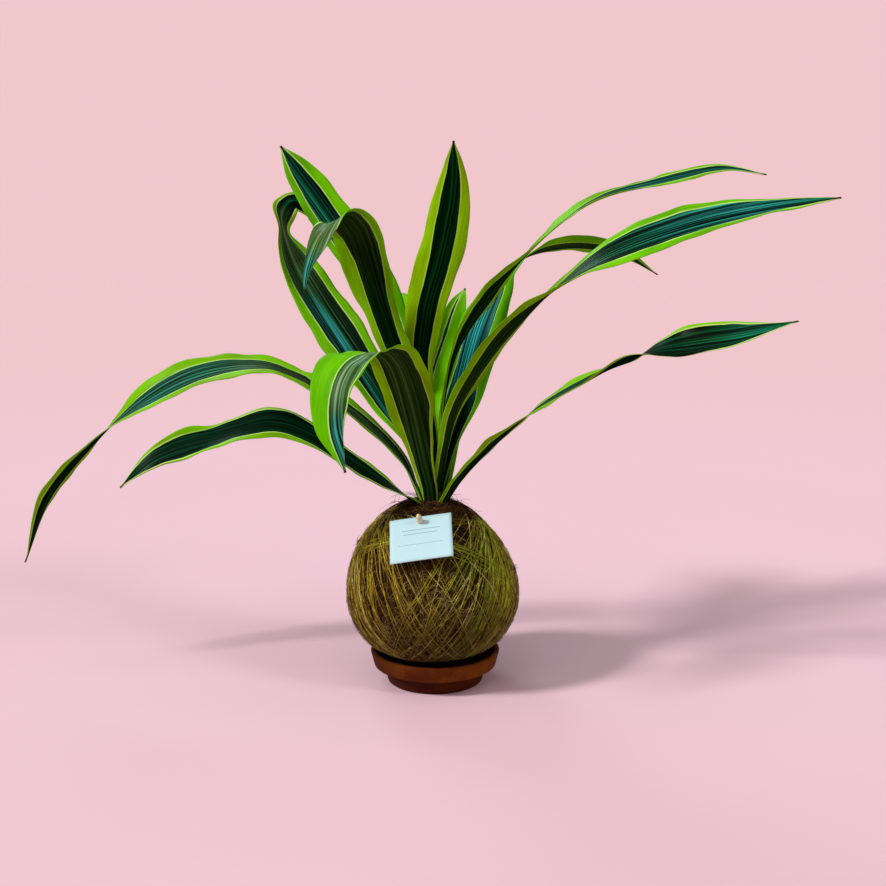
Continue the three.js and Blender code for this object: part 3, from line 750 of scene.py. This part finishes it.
fibreSettings = {
    "coir_fuzz": {
        "seed": 3, "doublings": 11, "steps": 7, "length": (5, 15), "bend": 3.6, "radius": (0.1, 0.17),
        "rise": 1.4, "risePower": 6, "proud": (-0.2, 0.6), "starts": allOverStarts,
        "colours": [(0.0, "180602"), (0.5, "341405"), (0.8, "6c4216"), (1.0, "c49c5a")],
    },
    "pale_curls": {
        "seed": 5, "doublings": 11, "steps": 6, "length": (3, 9), "bend": 4.5, "radius": (0.09, 0.18),
        "rise": 1.0, "risePower": 3, "proud": (0.1, 0.8), "starts": facingStarts,
        "colours": [(0.0, "2e1506"), (0.4, "64401a"), (0.75, "b89450"), (1.0, "f0dca0")],
    },
    "coir_frizz": {
        "seed": 8, "doublings": 9, "steps": 8, "length": (4, 12), "bend": 3.2, "radius": (0.08, 0.13),
        "rise": 3.2, "risePower": 1.8, "proud": (0.0, 0.5), "starts": allOverStarts,
        "colours": [(0.0, "180a04"), (0.6, "54310f"), (1.0, "a27c3e")],
    },
    "crown_mat": {
        "seed": 13, "doublings": 9, "steps": 10, "length": (10, 26), "bend": 4.5, "radius": (0.18, 0.28),
        "rise": 1.2, "risePower": 2.0, "proud": (-0.1, 0.9), "starts": crownStarts,
        "colours": [(0.0, "120501"), (0.45, "2a1004"), (0.8, "50300e"), (1.0, "947228")],
    },
    "crown_hairs": {
        "seed": 29, "doublings": 6, "steps": 12, "length": (6, 14), "bend": 6.0, "radius": (0.2, 0.26),
        "rise": 11.0, "risePower": 0.9, "proud": (0.0, 1.0), "starts": crownStarts,
        "colours": [(0.0, "100603"), (0.7, "2e180a"), (1.0, "6a4a26")],
    },
    "dark_tufts": {
        "seed": 17, "doublings": 6, "steps": 8, "length": (3, 7), "bend": 4.5, "radius": (0.12, 0.2),
        "rise": 3.2, "risePower": 0.9, "proud": (0.1, 0.8), "starts": tuftStarts,
        "colours": [(0.0, "120703"), (1.0, "4a260f")],
    },
}

for windingName, winding in windingSettings.items():
    replacedNodes = ["binding_thread"] if windingName == "thread_gold" else []
    layLoops(windingName, winding, makeThread(windingName, winding), replacedNodes)
    print("wound", windingName)

for fibreName, fibre in fibreSettings.items():
    layFibres(fibreName, fibre, makeFibre(fibreName, fibre["colours"]))
    print("laid", fibreName)


# Stem

stemSettings = {
    "foot": 60.0, "soil": 127.0, "top": 182.0, "low": 8.0, "high": 5.0, "scars": 3.2, "steps": 40,
    "green": [(0.0, "39451a"), (1.0, "5f6f2a")], "brown": [(0.0, "2b1b0e"), (1.0, "5a4326")],
}


def stemRadius(height):
    rise = (height - stemSettings["soil"]) / (stemSettings["top"] - stemSettings["soil"])
    rise = max(0, min(1, rise))
    return stemSettings["low"] + (stemSettings["high"] - stemSettings["low"]) * rise


def makeCane(settings):
    material, tree, place, marks = mottledMaterial("youngCane", 90.0, 800.0, 0.6)
    green = colourRamp(tree, marks["Patch"], settings["green"])
    brown = colourRamp(tree, marks["Grain"], settings["brown"])
    colour = blendColours(tree, remap(tree, axisOf(tree, place, "Z"), 0.125, 0.15), brown, green)
    return coat(material, colour, marks["Height"], 0.4, 0.0006)


def makeStem(settings):
    foot, height, top = settings["foot"], settings["soil"], settings["top"]
    low, high = settings["low"], settings["high"]
    profile = [(0, foot), (low - 2, foot), (low, foot + 2), (low, height - 2)]
    while height < top - 4:  # a leaf scar is a narrow ridge with a groove above it
        radius = stemRadius(height)
        ridge, groove = (radius + 0.15, height + 0.5), (radius - 0.25, height + 0.9)
        profile += [(radius, height), ridge, groove, (radius, height + 1.5)]
        height += settings["scars"]
    profile += [(high, top - 3), (high - 1.4, top - 0.7), (0, top)]
    bm = spunProfile(profile, settings["steps"], (ballSettings["centre"][0], 0))
    addPiece("cane", meshFrom(bm, "cane"), [makeCane(settings)], ["stem"])


makeStem(stemSettings)
print("stem turned")


# Leaves

bladeSettings = {
    "stations": 130, "across": 18, "thickness": 0.8, "rimShare": 0.45, "tipHalfWidth": 0.9,
    "clasp": 0.95, "trough": 0.35, "open": 0.25, "relaxed": (0.1, 0.4), "taperPower": 2.5,
    "offStem": 0.8, "calmHalf": 9, "waves": 3, "uvMillimetres": 100, "dry": "241a0e",
    "frill": (17, 1.6), "dent": (9, 0.07), "uneven": (26, 0.15),  # each has its pitch first
}
bladeKeys = ("fromEdge", "tone", "along", "olive", "pale", "yellow")

# Each leaf: where it leaves the stem, its half width, its widest point, how its edges wave, and the
# points of its middle with the turn there. Pairs are a place along the leaf and a value there: the
# dark band's share of the width, how far it is shifted, how olive its band is, how pale its streaks
# are and how far its margins turn from green to yellow. The olive is its back's own colour, and on
# the upper face of a drooping tip a painted greyish sheen. The pale streaks are painted highlights,
# ridges of the glossy blade catching the light. Crumple is a place along it and a depth in
# millimetres. A side of 1 or -1 keeps the painted highlight streaks to one half of the band. What a
# leaf doesn't say is taken from plainLeaf.
plainLeaf = {"shift": [(0, 0)], "olive": [(0, 0)], "pale": [(0, 0)], "crumple": (0, 0), "side": 0}

leafSettings = {
    "leaf_low_left": {
        "azimuth": 206, "insertion": 133, "half": 14, "widest": 0.6, "wave": 1.4,
        "band": [(0, 0.72), (0.5, 0.78), (1, 0.74)],
        "shift": [(0, 0.03), (0.36, 0), (0.5, -0.17), (0.66, -0.14), (0.76, 0.12), (0.9, 0.14), (1, 0)],
        "pale": [(0.6, 0), (0.75, 0.12), (1, 0.1)], "yellow": [(0, 0.7)],
        "path": [
            (-19, -9, 144, 0), (-32, -16, 154, -20), (-62, -32, 178, -42), (-93, -46, 200, -42),
            (-115, -55, 208, -38), (-138, -62, 204, -28), (-155, -67, 199, -30), (-176, -73, 194, -50),
            (-196, -78, 185, -35), (-216, -81, 167, -20),
        ],
    },
    "leaf_low_right": {
        "azimuth": 330, "insertion": 134, "half": 12, "widest": 0.7, "wave": 1.4,
        "band": [(0, 0.7), (0.3, 0.6), (0.5, 0.6), (0.68, 0.86)], "shift": [(0, -0.04)],
        "olive": [(0, 0.2), (0.6, 0)],
        "pale": [(0, 0), (0.25, 0.3), (0.45, 0.3), (0.55, 0), (0.8, 0), (0.88, 0.3), (0.94, 0.3), (1, 0)],
        "yellow": [(0, 0.75)],
        "path": [
            (12, -8, 148, -4), (21, -17, 164, -10), (46, -34, 193, -4), (75, -48, 219, 14),
            (106, -62, 239, 18), (131, -74, 253, -4), (153, -82, 263, 28), (177, -90, 269, 60),
            (206, -98, 274, 55), (238, -104, 282, 30),
        ],
    },
    "leaf_front": {
        "azimuth": 250, "insertion": 141, "half": 21.5, "widest": 0.45, "wave": 1.6,
        "crumple": (0.63, 2.4),
        "band": [(0, 0.66), (0.3, 0.6), (0.5, 0.6), (0.75, 0.5), (1, 0.6)],
        "shift": [(0, 0.16), (0.5, 0.17), (0.7, 0.42), (1, 0.4)],
        "olive": [(0, 0.1), (0.2, 0.5), (0.45, 1), (0.8, 1), (0.87, 0.15)],
        "pale": [(0.62, 0), (0.68, 0.3), (0.76, 0.2), (0.84, 0.3), (0.9, 0.75), (1, 0.6)],
        "yellow": [(0, 0.9), (0.55, 0.8), (0.66, 0.25), (1, 0.1)],
        "path": [
            (-6, -10, 153, 0), (-10, -17, 172, 0), (-16, -34, 203, 0), (-21, -56, 229, 0),
            (-27, -76, 250, 0), (-35, -92, 260, 5), (-47, -106, 260, 5), (-59, -116, 252, 0),
            (-65, -123, 236, 0), (-65, -130, 213, 0), (-56, -134, 187, 0),
        ],
    },
    "leaf_long_left": {
        "azimuth": 178, "insertion": 136, "half": 17, "widest": 0.5, "wave": 1.8, "crumple": (0.3, 1.2),
        "band": [(0, 0.7), (0.3, 0.52), (1, 0.58)], "shift": [(0, 0.04)],
        "olive": [(0, 0.1), (0.4, 0.25), (0.7, 0.1)],
        "pale": [(0.36, 0), (0.5, 0.5), (0.64, 0.5), (0.75, 0.1)], "yellow": [(0, 0.7)],
        "path": [
            (-16, 1, 152, 0), (-26, 6, 173, -14), (-48, 14, 195, -24), (-81, 22, 219, -18),
            (-113, 27, 236, -8), (-139, 30, 242, -20), (-177, 30, 238, -42), (-213, 28, 223, -42),
            (-257, 24, 191, -3), (-301, 18, 142, 15), (-320, 10, 90, 15),
        ],
    },
    "leaf_back_right": {
        "azimuth": 66, "insertion": 137, "half": 15, "widest": 0.5, "wave": 1.4,
        "band": [(0, 0.6)], "olive": [(0, 0.3)], "yellow": [(0, 0.4)],
        "path": [
            (6, 16, 154, 0), (11, 36, 186, 0), (17, 64, 226, 0), (24, 96, 255, 0), (32, 130, 262, 0),
            (38, 158, 246, 0), (41, 176, 216, 0),
        ],
    },
    "leaf_back_left": {
        "azimuth": 116, "insertion": 140.5, "half": 14, "widest": 0.5, "wave": 1.5,
        "band": [(0, 0.56)], "olive": [(0, 0.3)], "pale": [(0, 0.1)], "yellow": [(0, 0.5)],
        "path": [
            (-7.8, 12, 158, 0), (-17, 30, 198, 0), (-27, 54, 246, 0), (-33, 84, 282, 0),
            (-39, 118, 296, 0), (-46, 148, 280, 0), (-51, 166, 248, 0),
        ],
    },
    "leaf_broad_right": {
        "azimuth": 325, "insertion": 149, "half": 17, "widest": 0.6, "wave": 1.8,
        "band": [(0, 0.66), (0.25, 0.5), (0.5, 0.5), (0.62, 0.66), (0.8, 0.74), (1, 0.72)],
        "shift": [(0.6, 0), (0.8, 0.1)], "olive": [(0, 0.5), (0.5, 0.3), (0.58, 0)],
        "pale": [(0, 0), (0.58, 0.1), (0.7, 0.5), (0.85, 0.75), (1, 0.2)],
        "yellow": [(0, 0.75), (0.55, 0.7), (0.65, 0.3)],
        "path": [
            (5, -5, 161, 0), (9, -11, 188, 0), (16, -18, 215, -8), (33, -25, 246, -13),
            (56, -34, 276, -11), (91, -46, 306, 26), (123, -56, 327, 48), (172, -68, 345, 50),
            (221, -78, 356, 45), (268, -86, 362, 35),
        ],
    },
    "leaf_small_back": {
        "azimuth": 90, "insertion": 157, "half": 9.5, "widest": 0.75, "wave": 0.8,
        "band": [(0, 0.3), (0.5, 0.12), (1, 0.04)], "shift": [(0, 0.3)], "olive": [(0, 0.2)],
        "pale": [(0, 0.1)], "yellow": [(0, 0.35)],
        "path": [
            (-2, 10, 169, 0), (-2.7, 14.3, 188, 0), (-3, 20, 210, 0), (1, 32, 236, 0), (9, 46, 262, 0),
            (17, 57, 286, 0), (24, 66, 301, 0),
        ],
    },
    "leaf_arched_right": {
        "azimuth": 50, "insertion": 145, "half": 18, "widest": 0.35, "wave": 1.6,
        # the dark band is widened over the lower part: painted shade for margins that lie in shade there
        "band": [(0, 0.82), (0.22, 0.76), (0.3, 0.48), (0.45, 0.44), (0.6, 0.5)],
        "shift": [(0, 0), (0.3, 0.1), (0.6, 0.08)], "olive": [(0.4, 0), (0.55, 0.6)],
        "pale": [(0, 0), (0.18, 0.05), (0.27, 0.8), (0.4, 1), (0.5, 0.5), (0.58, 0.1)],
        "yellow": [(0, 0.3), (0.25, 0.1)],
        "path": [
            (5.4, 8.6, 159, 0), (12.5, 14, 188, 10), (21.5, 21.5, 216, 22), (28, 28, 242, 30),
            (36, 38, 269, 25), (46, 50, 292, 0), (58, 64, 313, -25), (82, 80, 330, -30),
            (119, 95, 336, -25), (156, 108, 330, -20), (188, 118, 312, 0),
        ],
    },
    "leaf_broad_left": {
        "azimuth": 157, "insertion": 153, "half": 19, "widest": 0.45, "wave": 1.8, "side": 1,
        "band": [(0, 0.5), (0.3, 0.62), (0.7, 0.66), (1, 0.7)],
        "olive": [(0, 0), (0.55, 0.1), (0.7, 0.55), (0.8, 0.6), (0.86, 0)],
        "pale": [
            (0, 0.3), (0.1, 0.7), (0.2, 0.6), (0.32, 0.5), (0.43, 1), (0.52, 0.9), (0.6, 0.25), (0.75, 0),
        ],
        "yellow": [(0, 0.35), (0.7, 0.5), (0.85, 0.9)],
        "path": [
            (-13, 4.8, 168, 0), (-20, 9, 187, -10), (-39, 22, 214, -35), (-63, 38, 249, -50),
            (-88, 55, 284, -50), (-111, 71, 320, -32), (-124, 84, 350, 20), (-123, 94, 365, -42),
            (-114, 104, 371, -88), (-93, 112, 352, -90),
        ],
    },
    "leaf_high_right": {
        "azimuth": 14, "insertion": 161.5, "half": 13, "widest": 0.5, "wave": 1.4,
        "band": [
            (0, 0.66), (0.36, 0.64), (0.44, 0.4), (0.5, 0.14), (0.6, 0.14), (0.68, 0.5), (0.78, 0.66),
            (1, 0.7),
        ],
        "olive": [(0, 0), (0.5, 0.3), (0.7, 0)], "pale": [(0, 0), (0.6, 0.1), (0.75, 0.5), (1, 0.4)],
        "yellow": [(0, 0.7), (0.5, 0.5)],
        "path": [
            (6, 2, 178, 0), (7.5, 4, 216, -12), (18, 11, 258, -36), (41, 18, 295, -40),
            (64, 24, 321, -20), (99, 32, 353, -4), (129, 38, 371, 10), (174, 44, 383, 22),
            (221, 49, 393, 30), (258, 53, 389, 38),
        ],
    },
    "leaf_nodding": {
        "azimuth": 226, "insertion": 164, "half": 18, "widest": 0.62, "wave": 2.8, "crumple": (0.74, 1.6),
        "band": [(0, 0.52), (0.6, 0.54), (0.74, 0.7), (0.84, 1), (1, 1.1)],
        "shift": [(0, 0.08), (0.4, 0.1), (0.53, 0.15), (0.63, 0.22), (0.72, 0.04), (0.78, -0.05)],
        "olive": [(0, 0), (0.5, 0.1), (0.66, 0.4), (0.74, 1), (0.88, 1), (0.93, 0.2)],
        "pale": [(0.86, 0), (0.92, 0.7), (1, 0.6)], "yellow": [(0.6, 0.5), (0.75, 0.4)],
        "path": [
            (-10, -9, 181, 0), (-15, -13, 202, 0), (-24, -17, 237, 10), (-36, -21, 272, 15),
            (-44, -26, 297, 15), (-51, -34, 322, 20), (-57, -43, 341, 25), (-66, -53, 349, 20),
            (-77, -63, 338, 5), (-85, -69, 318, 0), (-88, -70, 300, 0),
        ],
    },
    "leaf_upper_left": {
        "azimuth": 135, "insertion": 169, "half": 17, "widest": 0.74, "wave": 1.5,
        "band": [(0.7, 0.5), (1, 0.55)], "shift": [(0, 0), (0.6, 0.12), (1, 0.1)],
        "pale": [(0, 0), (0.55, 0.3), (0.63, 0.6), (0.7, 0.35), (1, 0.3)], "yellow": [(0, 0.3)],
        "path": [
            (-9, 7, 186, 0), (-16, 12, 210, 0), (-23, 18, 247, -15), (-32, 25, 277, -30),
            (-45, 31, 304, -35), (-59, 35, 327, -35), (-75, 39, 349, -35), (-90, 42, 370, -35),
            (-104, 45, 389, -30), (-119, 47, 410, -20),
        ],
    },
    "leaf_upright": {
        "azimuth": 270, "insertion": 173, "half": 16.8, "widest": 0.66, "wave": 1.2,
        "band": [(0, 0.6), (0.6, 0.48), (1, 0.5)], "shift": [(0, 0.1), (0.6, 0.06), (1, -0.05)],
        "yellow": [(0, 0.95)],
        "path": [
            (-4, -8, 196, 0), (-8, -7, 222, 0), (-11.5, -6, 246, 0), (-10, -5, 268, 0),
            (-5.4, -1, 294, 0), (3, 4, 323, 0), (11, 9, 358, 0), (14, 12, 383, 0), (14, 14, 410, 0),
        ],
    },
}


def smoothShare(value, low, high):
    share = max(0.0, min(1.0, (value - low) / (high - low)))
    return share * share * (3 - 2 * share)


def throughKnots(knots, time):  # a smooth line through every knot, from time 0 to 1
    last = len(knots) - 1
    piece = min(int(time * last), last - 1)
    step = time * last - piece
    a, b = knots[piece], knots[piece + 1]
    before = knots[piece - 1] if piece > 0 else 2 * knots[0] - knots[1]
    after = knots[piece + 2] if piece + 2 <= last else 2 * knots[last] - knots[last - 1]
    leave, arrive = (b - before) * 0.5, (after - a) * 0.5
    square, cube = 3 * (b - a) - 2 * leave - arrive, 2 * (a - b) + leave + arrive
    return a + leave * step + square * (step * step) + cube * step ** 3


def evenTimes(knots, count):  # the times of stations that are evenly apart along the line, and its length
    fineSteps = 600
    fine = [throughKnots(knots, i / fineSteps) for i in range(fineSteps + 1)]
    lengths = np.concatenate([[0], np.cumsum([(b - a).length for a, b in zip(fine, fine[1:])])])
    stations = np.linspace(0, lengths[-1], count + 1)
    return np.interp(stations, lengths, np.linspace(0, 1, fineSteps + 1)), lengths[-1]


def seatRadius(leaf):
    return stemRadius(leaf["insertion"]) + bladeSettings["offStem"]


def leafKnots(leaf):
    azimuth, seat = math.radians(leaf["azimuth"]), seatRadius(leaf)
    startX = ballSettings["centre"][0] + seat * math.cos(azimuth)
    start = Vector((startX, seat * math.sin(azimuth), leaf["insertion"]))
    return [start] + [Vector(knot[:3]) for knot in leaf["path"]]


def bladeRows(leaf, knots, times):  # each station's point, two directions across, half width and fold
    azimuth = math.radians(leaf["azimuth"])
    turns = [Vector((0, 0, 0))] + [Vector((math.radians(knot[3]), 0, 0)) for knot in leaf["path"]]
    widest, snug = leaf["widest"], bladeSettings["clasp"]
    clasp = snug * seatRadius(leaf) / leaf["half"]
    rows = []
    for station, time in enumerate(times):
        along = station / (len(times) - 1)
        point = throughKnots(knots, time)
        ahead, behind = (throughKnots(knots, near) for near in (min(time + 1e-4, 1), max(time - 1e-4, 0)))
        tangent = (ahead - behind).normalized()
        side = Vector((-math.sin(azimuth), math.cos(azimuth), 0))
        side = (side - tangent * side.dot(tangent)).normalized()
        side = Matrix.Rotation(throughKnots(turns, time).x, 3, tangent) @ side
        swell = clasp + (1 - clasp) * smoothShare(along, 0, widest)
        taper = 1 - max((along - widest) / (1 - widest), 0) ** bladeSettings["taperPower"]
        half = max(leaf["half"] * swell * taper, bladeSettings["tipHalfWidth"])
        fromStem = math.hypot(point.x - ballSettings["centre"][0], point.y)
        relaxed = smoothShare(along, *bladeSettings["relaxed"])
        deepest = snug + (bladeSettings["trough"] - snug) * relaxed
        fold = max(bladeSettings["open"], min(deepest, half / fromStem))
        rows.append((point, side, tangent.cross(side), half, fold))
    return rows


def alongPairs(pairs, along):
    return float(np.interp(along, [pair[0] for pair in pairs], [pair[1] for pair in pairs]))


def noiseAlong(distance, pitch, row, layer=0):
    return noise.noise(Vector((distance / pitch, row, layer)))


def rippleOf(leaf, number, across, along, length):  # how far the blade waves out of its trough there
    hand, outOfStep = (50, 1.9) if across > 0 else (0, 0)  # its two edges don't wave together
    wave = math.sin(2 * math.pi * bladeSettings["waves"] * along + leaf["azimuth"] + outOfStep)
    pitch, height = bladeSettings["frill"]
    frill = noiseAlong(along * length, pitch, number * 7.7 + hand)
    crumpled, depth = leaf["crumple"]
    pitch, spread = bladeSettings["dent"]
    dent = depth * noiseAlong(along * length, pitch, 1.4 * across, number)
    ripple = leaf["wave"] * abs(across) ** 3 * wave + height * frill * across ** 4
    return ripple + dent * math.exp(-((along - crumpled) / spread) ** 2)


def growLeaf(name, materials, number):
    leaf = {**plainLeaf, **leafSettings[name]}
    stations, unit = bladeSettings["stations"], bladeSettings["uvMillimetres"]
    knots = leafKnots(leaf)
    times, length = evenTimes(knots, stations)
    rows = bladeRows(leaf, knots, times)
    bm = bmesh.new()
    blade = bm.loops.layers.uv.new("blade")
    bmesh.ops.create_grid(bm, x_segments=bladeSettings["across"], y_segments=stations, size=1.0)
    layers = {key: bm.verts.layers.float.new(key) for key in (*bladeKeys, "rim")}
    onBlade = {}
    pitch, uneven = bladeSettings["uneven"]
    for vertex in bm.verts:
        across, along = -vertex.co.x, (vertex.co.y + 1) / 2
        point, side, face, half, fold = rows[min(int(round(along * stations)), stations)]
        curl = half / fold
        fade = min(1, half / bladeSettings["calmHalf"]) * min(1, 4 * along)  # calm at the stem and tip
        row = number * 3.3 + (50 if across > 0 else 0)
        wider = uneven * noiseAlong(along * length, pitch, row, 9) * across * across * fade
        bend = fold * (across * (1 + wider))
        lift = curl * (1 - math.cos(bend)) + rippleOf(leaf, number, across, along, length) * fade
        vertex.co = (point + side * curl * math.sin(bend) + face * lift) * mm
        drift = 0.04 * math.sin(5 * along + number) + 0.025 * math.sin(13 * along + 2 * number)
        share = alongPairs(leaf["band"], along) + 0.04 * math.sin(7 * along + 3 * number)
        shift = alongPairs(leaf["shift"], along) + drift
        marks = {key: alongPairs(leaf[key], along) for key in ("olive", "pale", "yellow")}
        # the painted highlight streaks kept to one half of the band
        if leaf["side"]:
            marks["pale"] *= 0.15 + 0.85 * smoothShare(leaf["side"] * across, -0.2, 0.15)
        marks |= {"fromEdge": (abs(across - shift) - share) * half, "tone": number / len(leafSettings)}
        marks |= {"along": along, "rim": across}
        for key, value in marks.items():
            vertex[layers[key]] = value
        onBlade[vertex] = (across * half / unit, along * length / unit)
    for face in bm.faces:
        for loop in face.loops:
            loop[blade].uv = onBlade[loop.vert]
    piece = addPiece(name + "_blade", meshFrom(bm, name + "_blade"), materials, [name])
    thinner = piece.vertex_groups.new(name="thickness")
    for vertex, rim in zip(piece.data.vertices, piece.data.attributes["rim"].data):
        thinner.add([vertex.index], 1 - (1 - bladeSettings["rimShare"]) * rim.value ** 4, "REPLACE")
    solid = thicken(piece, "thickness", bladeSettings["thickness"], 0)
    solid.vertex_group = "thickness"
    solid.material_offset = 1


def makeBlade(name, settings):
    material, tree = newMaterial(name, settings["roughness"], settings["specular"])
    unit = bladeSettings["uvMillimetres"]
    blade = stretchBy(tree, addNode(tree, "UVMap", uv_map="blade").outputs[0], (unit, unit, 1))
    fromEdge, tone, along, olive, pale, yellow = (readAttribute(tree, key) for key in bladeKeys)
    marks = useGroup(tree, bladeMarks, {"Blade": blade, "From Edge": fromEdge, "Tone": tone})
    # dull is the olive band: the back's own olive, and on the upper face of a drooping tip a painted
    # greyish sheen
    band, dull = (colourRamp(tree, marks["Streak"], settings[key]) for key in ("band", "oliveBand"))
    # painted highlights: streaks over the band, fresh green where faint and pale teal where strong, stand
    # for ridges catching the light
    lineShare = multiply(tree, multiply(tree, marks["Streak"], pale), settings["paleShare"])
    lineColour = blendColours(tree, pale, rgb(settings["fresh"]), rgb(settings["pale"]))
    band = blendColours(tree, lineShare, blendColours(tree, olive, band, dull), lineColour)
    shade = addShares(tree, marks["Vein"], 0.5, marks["Cloud"], 0.5)
    green, gold = (colourRamp(tree, shade, settings[key]) for key in ("margin", "yellowMargin"))
    yellowing = multiply(tree, yellow, remap(tree, marks["Cloud"], 0.0, 1.0, 1.0, 0.55))
    margin = blendColours(tree, yellowing, green, gold)
    colour = blendColours(tree, marks["Margin"], band, margin)
    creamShare = multiply(tree, marks["Cream"], settings["creamShare"])
    colour = blendColours(tree, creamShare, colour, rgb(settings["cream"]))
    dried = remap(tree, along, 0.982, 0.996, 0.0, 0.85)  # the last few millimetres are dry
    colour = blendColours(tree, dried, colour, rgb(bladeSettings["dry"]))
    roughness = settings["roughness"]
    gloss = remap(tree, marks["Vein"], 0.3, 0.7, roughness - 0.06, roughness + 0.08)
    relief = calculate(tree, "MULTIPLY_ADD", marks["Streak"], 0.5, marks["Vein"])
    return coat(material, colour, relief, settings["ridges"], 0.0006, gloss)


# In each finish the pale and fresh colours are those of the painted highlight streaks, and the olive band
# holds a painted greyish sheen on drooping upper faces.
bladeFinish = {
    "bladeTop": {
        "roughness": 0.36, "specular": 0.03, "ridges": 0.16, "cream": "cde888", "creamShare": 0.6,
        "band": [(0.0, "000702"), (0.45, "001a08"), (0.75, "02391a"), (1.0, "085a3a")],
        "oliveBand": [(0.0, "244216"), (0.5, "50703a"), (1.0, "8c9e78")],
        "fresh": "128a42", "pale": "38bcc0", "paleShare": 0.95,
        "margin": [(0.0, "2a7e00"), (0.4, "489e00"), (0.75, "5cb400"), (1.0, "84d010")],
        "yellowMargin": [(0.0, "587a00"), (0.4, "749e00"), (0.75, "86b802"), (1.0, "a8d018")],
    },
    "bladeUnder": {
        "roughness": 0.5, "specular": 0.0, "ridges": 0.3, "cream": "b4d460", "creamShare": 0.5,
        "band": [(0.0, "000a02"), (0.5, "021c08"), (1.0, "083410")],
        "oliveBand": [(0.0, "14280a"), (0.5, "283f14"), (1.0, "3c5424")],
        "fresh": "3c7040", "pale": "5f7f5a", "paleShare": 0.2,
        "margin": [(0.0, "3c8202"), (0.5, "58a604"), (1.0, "7cc010")],
        "yellowMargin": [(0.0, "5a7802"), (0.5, "7c9a04"), (1.0, "a0b812")],
    },
}

bladeMaterials = [makeBlade(finishName, finish) for finishName, finish in bladeFinish.items()]
for leafNumber, leafName in enumerate(leafSettings):
    growLeaf(leafName, bladeMaterials, leafNumber)
print("leaves grown")


# Card and peg

cardSettings = {
    "width": 46.0, "height": 39.0, "thickness": 0.6, "bow": (0.25, 0.12), "lift": 4.6,
    "polarDegrees": 41.9, "azimuthDegrees": 260.9, "facing": (40.6, 254.0), "rollDegrees": 14.5,
    "paper": "b2d3dc", "shade": "a6c8d2", "rule": "6a828c",
    "rules": [(0.2, 0.8, 0.7, 0.009), (0.22, 0.76, 0.61, 0.009), (0.14, 0.84, 0.37, 0.006)],
}
pegSettings = {
    "fromTop": 5.0, "steps": 32, "wood": [(0.15, "948a64"), (0.5, "c0b892"), (0.85, "dcd6b8")],
    "profile": [
        (0, -17), (0.8, -16.8), (1.2, -16), (2.2, -12), (2.2, 3.4), (2.14, 5.2), (1.95, 6.6),
        (1.65, 7.7), (1.15, 8.5), (0.65, 8.9), (0, 9),
    ],
}


def wayTo(polarDegrees, azimuthDegrees):
    polar, azimuth = math.radians(polarDegrees), math.radians(azimuthDegrees)
    level = math.sin(polar)
    return Vector((level * math.cos(azimuth), level * math.sin(azimuth), math.cos(polar)))


def cardPlace(settings):
    polar, azimuth = settings["polarDegrees"], settings["azimuthDegrees"]
    distance = float(skinDistance(math.radians(polar), math.radians(azimuth))) + settings["lift"]
    centre = wayTo(polar, azimuth) * distance + Vector(ballSettings["centre"])
    outward = wayTo(*settings["facing"])
    level = Vector((0, 0, 1)).cross(outward).normalized()
    right = Matrix.Rotation(math.radians(settings["rollDegrees"]), 3, outward) @ level
    upward = outward.cross(right)
    turn = Matrix((right, upward, outward)).transposed()
    return centre, upward, turn


def makePaper(settings):
    material, tree, _, marks = mottledMaterial("cardPaper", 70.0, 2200.0, 0.7)
    sheet = addNode(tree, "UVMap", uv_map="UVMap").outputs[0]
    paper, shade, rule = (rgb(settings[key]) for key in ("paper", "shade", "rule"))
    colour = blendColours(tree, multiply(tree, marks["Grain"], 0.35), paper, shade)
    x, y = axisOf(tree, sheet, "X"), axisOf(tree, sheet, "Y")
    ink = 0.0
    for left, right, height, half in settings["rules"]:  # plain ruled lines
        offLine = calculate(tree, "ABSOLUTE", calculate(tree, "SUBTRACT", y, height))
        line = remap(tree, offLine, half * 0.6, half, 1.0, 0.0)
        line = multiply(tree, line, remap(tree, x, left - 0.01, left))
        line = multiply(tree, line, remap(tree, x, right, right + 0.01, 1.0, 0.0))
        ink = calculate(tree, "MAXIMUM", ink, line)
    colour = blendColours(tree, multiply(tree, ink, 0.8), colour, rule)
    return coat(material, colour, marks["Grain"], 0.12, 0.0002)


def makeCard(settings):
    centre, _, turn = cardPlace(settings)
    bm = bmesh.new()
    bm.loops.layers.uv.new("UVMap")
    bmesh.ops.create_grid(bm, x_segments=16, y_segments=14, size=0.5, calc_uvs=True)
    for vertex in bm.verts:
        u, v = 2 * vertex.co.x, 2 * vertex.co.y
        bow = settings["bow"][0] * u * u + settings["bow"][1] * v * v  # paper is never quite flat
        vertex.co = (vertex.co.x * settings["width"], vertex.co.y * settings["height"], -bow)
    bmesh.ops.transform(bm, matrix=Matrix.Translation(centre) @ turn.to_4x4(), verts=bm.verts)
    bmesh.ops.scale(bm, vec=(mm, mm, mm), verts=bm.verts)
    card = addPiece("paper_card", meshFrom(bm, "paper_card"), [makePaper(settings)], ["label_card"])
    thicken(card, "board", settings["thickness"], 0)


def makePegWood(settings):
    material, tree, place, marks = mottledMaterial("pegWood", 260.0, 1500.0, 0.6)
    grain = spotNoise(tree, stretchBy(tree, place, (1600, 300, 500)), 1.0, 3.0)
    shade = addShares(tree, marks["Patch"], 0.4, grain, 0.6)
    return coat(material, colourRamp(tree, shade, settings["wood"]), grain, 0.3, 0.0003)


def makePeg(settings):
    centre, upward, turn = cardPlace(cardSettings)
    seat = centre + upward * (cardSettings["height"] / 2 - settings["fromTop"])
    bm = spunProfile(settings["profile"], settings["steps"])
    seated = Matrix.Translation(seat * mm) @ turn.to_4x4()
    bmesh.ops.transform(bm, matrix=seated, verts=bm.verts)
    addPiece("wooden_peg", meshFrom(bm, "wooden_peg"), [makePegWood(settings)], ["label_peg"])


makeCard(cardSettings)
makePeg(pegSettings)
print("card pegged on")
